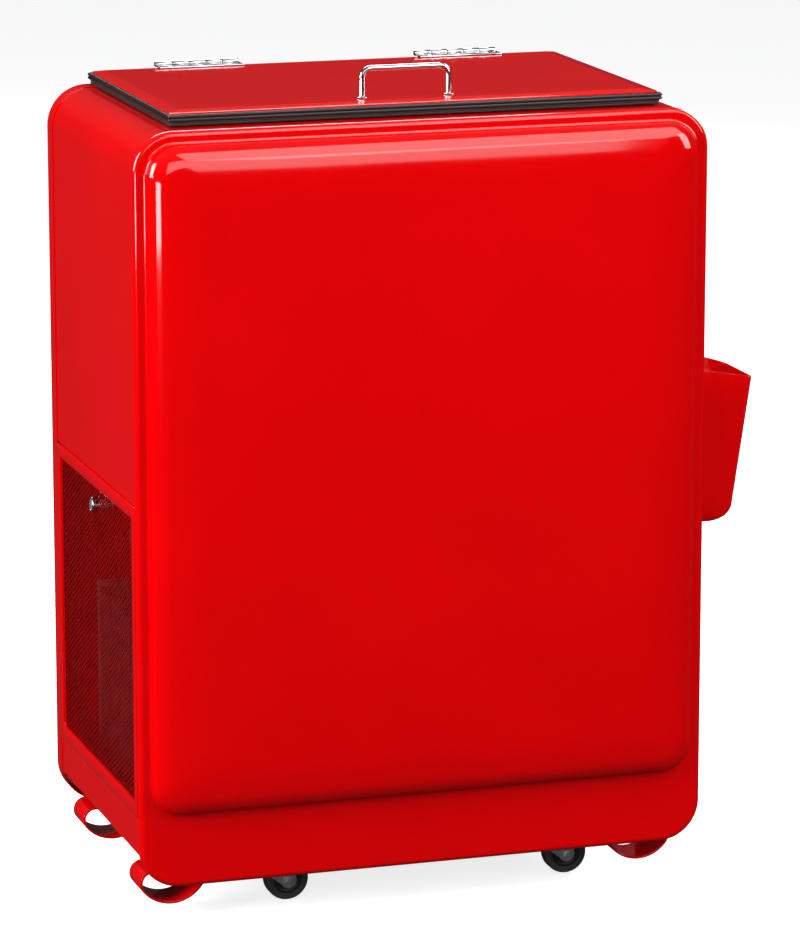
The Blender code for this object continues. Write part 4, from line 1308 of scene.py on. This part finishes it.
def bin_ring(reach, narrow, z, slope, inset=0.0):
    near = 8 * MM
    back = BIN_LOW.x
    far = min(42 * MM, (reach - back) * 0.8)
    low, high = BIN_LOW.y + narrow + inset, BIN_HIGH.y - narrow - inset
    reach -= inset
    outline = [(back, low), ((back + reach) / 2, low)]
    outline += arc((reach - near, low + near), near, -90, 0, 12)
    outline += arc((reach - far, high - far), far, 0, 90, 28)
    outline += [(back + (reach - far - back) / 2, high), (back, high)]
    return [(x, y, z + slope * (reach - x)) for x, y in outline[::-1]]


def make_bin():
    rim = 590.5 * MM
    straight = 147 * MM
    reach = BIN_HIGH.x
    low = reach - 0.15 * straight
    rings = [
        bin_ring(reach - 0.15 * straight * k / 5, 0, rim - straight * k / 5, 0.19 * (1 - k / 5) ** 2)
        for k in range(6)
    ]
    for k in range(1, 15):
        turn = radians(80 * k / 14)
        rings.append(
            bin_ring(
                low - 26 * MM * (1 - cos(turn)),
                6 * MM * (1 - cos(turn)),
                rim - straight - 22 * MM * sin(turn),
                0,
            )
        )
    shell = sheet(loft(rings, end_cap=True), SHEET)
    piece(
        "cap_pocket", bevelled(shell, 0.45 * MM, 2, 60), "baked_red_enamel", "case", "cap_bin"
    )
    low, high = cad("bottle_opener")
    middle = (low.y + high.y) / 2
    base = outward(
        loft(
            [
                [(x, u + middle, v) for u, v in rounded(-28 * MM, 28 * MM, low.z, high.z, 7 * MM, 8)]
                for x in (low.x, low.x + 2.5 * MM)
            ],
            True,
            True,
        )
    )
    hook = [
        (0, 690),
        (6, 689.4),
        (12, 688),
        (17, 684.5),
        (20, 680),
        (20.6, 674),
        (20, 668),
        (17, 664.6),
        (14, 664),
        (13, 668),
        (16, 671),
        (16.2, 675),
        (15, 678),
        (12, 680.6),
        (9, 682),
        (0, 683),
    ]
    basis = upright(middle)
    lip = plate([(low.x + 1 * MM + u * MM, v * MM) for u, v in hook], 30 * MM, basis)
    zinc = "bright_zinc_plate"
    piece(
        "cap_lifter",
        together(bevelled(base, 0.5 * MM, 2), bevelled(lip, 0.5 * MM, 2)),
        zinc,
        "case",
        "bottle_opener",
    )
    spots = [
        (low.x + 2.5 * MM, (low.y + high.y) / 2 + s * 20 * MM, v)
        for s in (-1, 1)
        for v in (low.z + 9 * MM, high.z - 9 * MM)
    ]
    piece(
        "cap_lifter_screws",
        on_points(screw_head(), spots, "x", zinc),
        zinc,
        "case",
        smooth=50,
    )


# The condensing unit


def make_unit(settings):
    low, high = cad("condenser")
    size = (high.x - low.x - 2 * MM, 0.35 * MM, high.z - low.z - 14 * MM)
    count = int((high.y - low.y - 8 * MM) / settings.fin_pitch)
    tree = bpy.data.node_groups.get("fins") or fins_tree()
    metal = "aluminium_fin_stock"
    fins = grown(tree, to_mesh(bmesh.new()), metal, count=count, pitch=settings.fin_pitch, size=size)
    fins.transform(Matrix.Translation(((low.x + high.x) / 2, low.y + 4 * MM, (low.z + high.z) / 2)))
    pieces = [fins]
    for y in (low.y, high.y - 3 * MM):
        pieces.append(bevelled(box((low.x, y, low.z), (high.x, y + 3 * MM, high.z)), 0.5 * MM, 2))
    levels = 9
    for k in range(levels):
        z = low.z + 20 * MM + k * (high.z - low.z - 40 * MM) / (levels - 1)
        for x in (low.x + 10 * MM, high.x - 10 * MM):
            pieces.append(rod(4 * MM, (x, low.y + 1 * MM, z), high.y - low.y - 2 * MM, "y", 16))
    piece("finned_coil", together(*pieces), metal, "case", "condenser")
    dress(["compressor", "fan_motor"], "black_stove_enamel")
    dress(["fan_shroud", "control_box", "base_pan"], "galvanised_spangle")
    dress(["insulation"], "urethane_foam")
    dress(["drain_pipe"], "white_pvc_pipe")
    dress(["cord_gland", "fan_rotor", "thermostat_knob"], "black_nylon")


# The stage


def make_stage(settings):
    scene = bpy.context.scene
    # The plain display curve, which keeps a saturated enamel saturated
    scene.view_settings.view_transform = "Standard"
    bm = bmesh.new()
    bmesh.ops.create_grid(bm, x_segments=1, y_segments=1, size=30)
    floor = bpy.data.objects.new("studio_floor", to_mesh(bm))
    paper = surface("matt_studio_paper", "d8d8d8", "dededd", 0.6, (0.85, 0.95))
    # Lit from below, as a light table is, so that it stays pale out to the horizon
    paper.node_tree.nodes["Principled BSDF"].inputs["Emission Color"].default_value = linear("ffffff")
    paper.node_tree.nodes["Principled BSDF"].inputs["Emission Strength"].default_value = 0.8
    floor.data.materials.append(paper)
    floor.location.z = -0.5 * MM
    floor.visible_glossy = floor.visible_diffuse = False
    scene.collection.objects.link(floor)
    world = bpy.data.worlds.new("studio")
    world.use_nodes = True
    tree = world.node_tree
    place = node(tree, "ShaderNodeTexCoord").outputs["Generated"]
    height = node(tree, "ShaderNodeSeparateXYZ", [("Vector", place)]).outputs["Z"]
    # Dim under the horizon, where a room's floor would be, and soft above it
    ramp = node(tree, "ShaderNodeMapRange", [("Value", height)])
    for key, value in (("From Min", 0.1), ("From Max", 0.9), ("To Min", 0.25), ("To Max", 1.6)):
        ramp.inputs[key].default_value = value
    strength = node(tree, "ShaderNodeMath", [(0, ramp.outputs[0])], operation="MULTIPLY")
    strength.inputs[1].default_value = settings.fill
    shown = tree.nodes["Background"]
    shown.inputs["Color"].default_value = linear("f2f5fa")
    tree.links.new(strength.outputs[0], shown.inputs["Strength"])
    scene.world = world
    for name, place, target, wide, tall, roll, power in LIGHTS:
        lamp = bpy.data.lights.new(name, "AREA")
        lamp.shape = "RECTANGLE"
        lamp.size, lamp.size_y, lamp.energy = wide, tall, power
        obj = bpy.data.objects.new(name, lamp)
        obj.location = place
        aim = (Vector(target) - Vector(place)).to_track_quat("-Z", "Y").to_matrix().to_4x4()
        obj.rotation_euler = (aim @ Matrix.Rotation(radians(roll), 4, "Z")).to_euler()
        scene.collection.objects.link(obj)
    camera = bpy.data.cameras.new("studio_camera")
    camera.lens = settings.lens
    camera.sensor_width = 36
    camera.clip_end = 200
    view = bpy.data.objects.new("studio_camera", camera)
    azimuth, elevation = settings.azimuth, settings.elevation
    ahead = Vector((-sin(azimuth) * cos(elevation), cos(azimuth) * cos(elevation), -sin(elevation)))
    view.location = Vector(settings.camera_place) + SHIFT
    view.rotation_euler = ahead.to_track_quat("-Z", "Y").to_euler()
    scene.collection.objects.link(view)
    scene.camera = view


# Name, place, target, width and height in metres, turn about its own axis in degrees, watts
LIGHTS = [
    ("front_top_box", (1.0, -1.75, 2.45), (0.1, -0.2, 0.9), 2.2, 1.7, 12, 40),
    ("front_box", (0.3, -4.4, 2.0), (0, 0, 0.45), 3.0, 1.5, 0, 40),
    ("front_low_strip", (-2.8, -3.4, 0.3), (0, 0, 0.1), 1.4, 0.4, 0, 24),
    ("left_box", (-4.0, -1.1, 2.0), (0, 0, 0.6), 1.9, 2.4, 0, 260),
    ("front_right_box", (3.4, -2.6, 2.0), (0, 0, 0.5), 1.4, 1.8, 0, 60),
    ("back_high_box", (0.2, 2.6, 3.4), (0, 0, 0.7), 2.4, 1.4, 0, 100),
    ("rear_right_box", (3.4, 2.6, 2.4), (0, 0, 0.5), 1.6, 1.8, 0, 150),
]


class CoolerSettings(bpy.types.PropertyGroup):
    """Sizes and colours that a user would change"""

    enamel: bpy.props.FloatVectorProperty(
        name="Enamel",
        description="Colour of the enamelled sheet, in display values",
        default=(0.87, 0.0, 0.01),
        size=3,
        min=0,
        max=1,
        subtype="COLOR_GAMMA",
    )
    pillow_proud: bpy.props.FloatProperty(
        name="Pillow Height",
        description="How far the front pressing stands out",
        default=22 * MM,
        unit="LENGTH",
    )
    pillow_crown: bpy.props.FloatProperty(
        name="Pillow Crown",
        description="Extra rise of the pressing towards its middle",
        default=2 * MM,
        unit="LENGTH",
    )
    mesh_long_way: bpy.props.FloatProperty(
        name="Mesh Long Way",
        description="Length of one diamond of the mesh",
        default=11.6 * MM,
        unit="LENGTH",
    )
    mesh_short_way: bpy.props.FloatProperty(
        name="Mesh Short Way",
        description="Height of one diamond of the mesh",
        default=6.8 * MM,
        unit="LENGTH",
    )
    mesh_strand: bpy.props.FloatProperty(
        name="Mesh Strand", description="Width of a strand of the mesh", default=1.3 * MM, unit="LENGTH"
    )
    fin_pitch: bpy.props.FloatProperty(
        name="Fin Pitch", description="Distance between the coil's fins", default=3.2 * MM, unit="LENGTH"
    )
    tyre_ribs: bpy.props.IntProperty(
        name="Tyre Ribs", description="Moulded ribs round a tyre", default=72, min=12
    )
    fill: bpy.props.FloatProperty(
        name="Fill", description="Strength of the light from all round", default=0.13, min=0
    )
    lens: bpy.props.FloatProperty(name="Lens", description="Focal length in millimetres", default=182.02)
    azimuth: bpy.props.FloatProperty(
        name="Azimuth",
        description="Which way the camera looks, about Z",
        default=radians(-17.71),
        subtype="ANGLE",
    )
    elevation: bpy.props.FloatProperty(
        name="Elevation",
        description="How far down the camera looks",
        default=radians(12.69),
        subtype="ANGLE",
    )
    camera_place: bpy.props.FloatVectorProperty(
        name="Camera Place", description="The camera from the front rim's middle, on the floor",
        default=(-1.6336, -5.0212, 1.6991), size=3, unit="LENGTH",
    )


class COOLER_OT_front_panel(bpy.types.Operator):
    """Press the front panel with its raised pillow"""

    bl_idname = "cooler.front_panel"
    bl_label = "Front Panel"

    def execute(self, context):
        make_front_panel(context.scene.cooler)
        return {"FINISHED"}


class COOLER_OT_rear_panel(bpy.types.Operator):
    """Press the rear panel and screw it on"""

    bl_idname = "cooler.rear_panel"
    bl_label = "Rear Panel"

    def execute(self, context):
        make_rear_panel()
        return {"FINISHED"}


class COOLER_OT_wrapper(bpy.types.Operator):
    """Bend the sides, the deck and the left sill"""

    bl_idname = "cooler.wrapper"
    bl_label = "Sides and Deck"

    def execute(self, context):
        make_wrapper()
        return {"FINISHED"}


class COOLER_OT_tub(bpy.types.Operator):
    """Form the tub, its throat moulding and its plug"""

    bl_idname = "cooler.tub"
    bl_label = "Tub"

    def execute(self, context):
        make_tub()
        return {"FINISHED"}


class COOLER_OT_lid(bpy.types.Operator):
    """Build the lid with its edge moulding, seal and pull"""

    bl_idname = "cooler.lid"
    bl_label = "Lid"

    def execute(self, context):
        make_lid()
        return {"FINISHED"}


class COOLER_OT_hinges(bpy.types.Operator):
    """Build the lid's two hinges"""

    bl_idname = "cooler.hinges"
    bl_label = "Hinges"

    def execute(self, context):
        make_hinges()
        return {"FINISHED"}


class COOLER_OT_vent(bpy.types.Operator):
    """Build the tilting mesh panel and its lock"""

    bl_idname = "cooler.vent"
    bl_label = "Mesh Panel"

    def execute(self, context):
        make_vent(context.scene.cooler)
        return {"FINISHED"}


class COOLER_OT_feet(bpy.types.Operator):
    """Bend the four strap feet"""

    bl_idname = "cooler.feet"
    bl_label = "Feet"

    def execute(self, context):
        make_feet()
        return {"FINISHED"}


class COOLER_OT_casters(bpy.types.Operator):
    """Build the four casters"""

    bl_idname = "cooler.casters"
    bl_label = "Casters"

    def execute(self, context):
        make_casters(context.scene.cooler)
        return {"FINISHED"}


class COOLER_OT_bin(bpy.types.Operator):
    """Fold the cap bin and fit the opener"""

    bl_idname = "cooler.cap_bin"
    bl_label = "Cap Bin"

    def execute(self, context):
        make_bin()
        return {"FINISHED"}


class COOLER_OT_unit(bpy.types.Operator):
    """Build the coil and finish the condensing unit"""

    bl_idname = "cooler.unit"
    bl_label = "Condensing Unit"

    def execute(self, context):
        make_unit(context.scene.cooler)
        return {"FINISHED"}


class COOLER_OT_stage(bpy.types.Operator):
    """Set the floor, the lights and the camera"""

    bl_idname = "cooler.stage"
    bl_label = "Stage"

    def execute(self, context):
        make_stage(context.scene.cooler)
        return {"FINISHED"}


OPERATORS = (
    COOLER_OT_front_panel,
    COOLER_OT_rear_panel,
    COOLER_OT_wrapper,
    COOLER_OT_tub,
    COOLER_OT_lid,
    COOLER_OT_hinges,
    COOLER_OT_vent,
    COOLER_OT_feet,
    COOLER_OT_casters,
    COOLER_OT_bin,
    COOLER_OT_unit,
    COOLER_OT_stage,
)


class COOLER_PT_pieces(bpy.types.Panel):
    """Lists the settings and the pieces"""

    bl_idname = "COOLER_PT_pieces"
    bl_label = "Chest Cooler"
    bl_space_type = "VIEW_3D"
    bl_region_type = "UI"
    bl_category = "Cooler"

    def draw(self, context):
        for key in CoolerSettings.__annotations__:
            self.layout.prop(context.scene.cooler, key)
        for operator in OPERATORS:
            self.layout.operator(operator.bl_idname)


CLASSES = (CoolerSettings, *OPERATORS, COOLER_PT_pieces)


def register():
    for made in CLASSES:
        bpy.utils.register_class(made)
    bpy.types.Scene.cooler = bpy.props.PointerProperty(type=CoolerSettings)


def unregister():
    del bpy.types.Scene.cooler
    for made in reversed(CLASSES):
        bpy.utils.unregister_class(made)


def main():
    register()
    for operator in OPERATORS:
        group, name = operator.bl_idname.split(".")
        getattr(getattr(bpy.ops, group), name)()


if __name__ == "__main__":
    main()
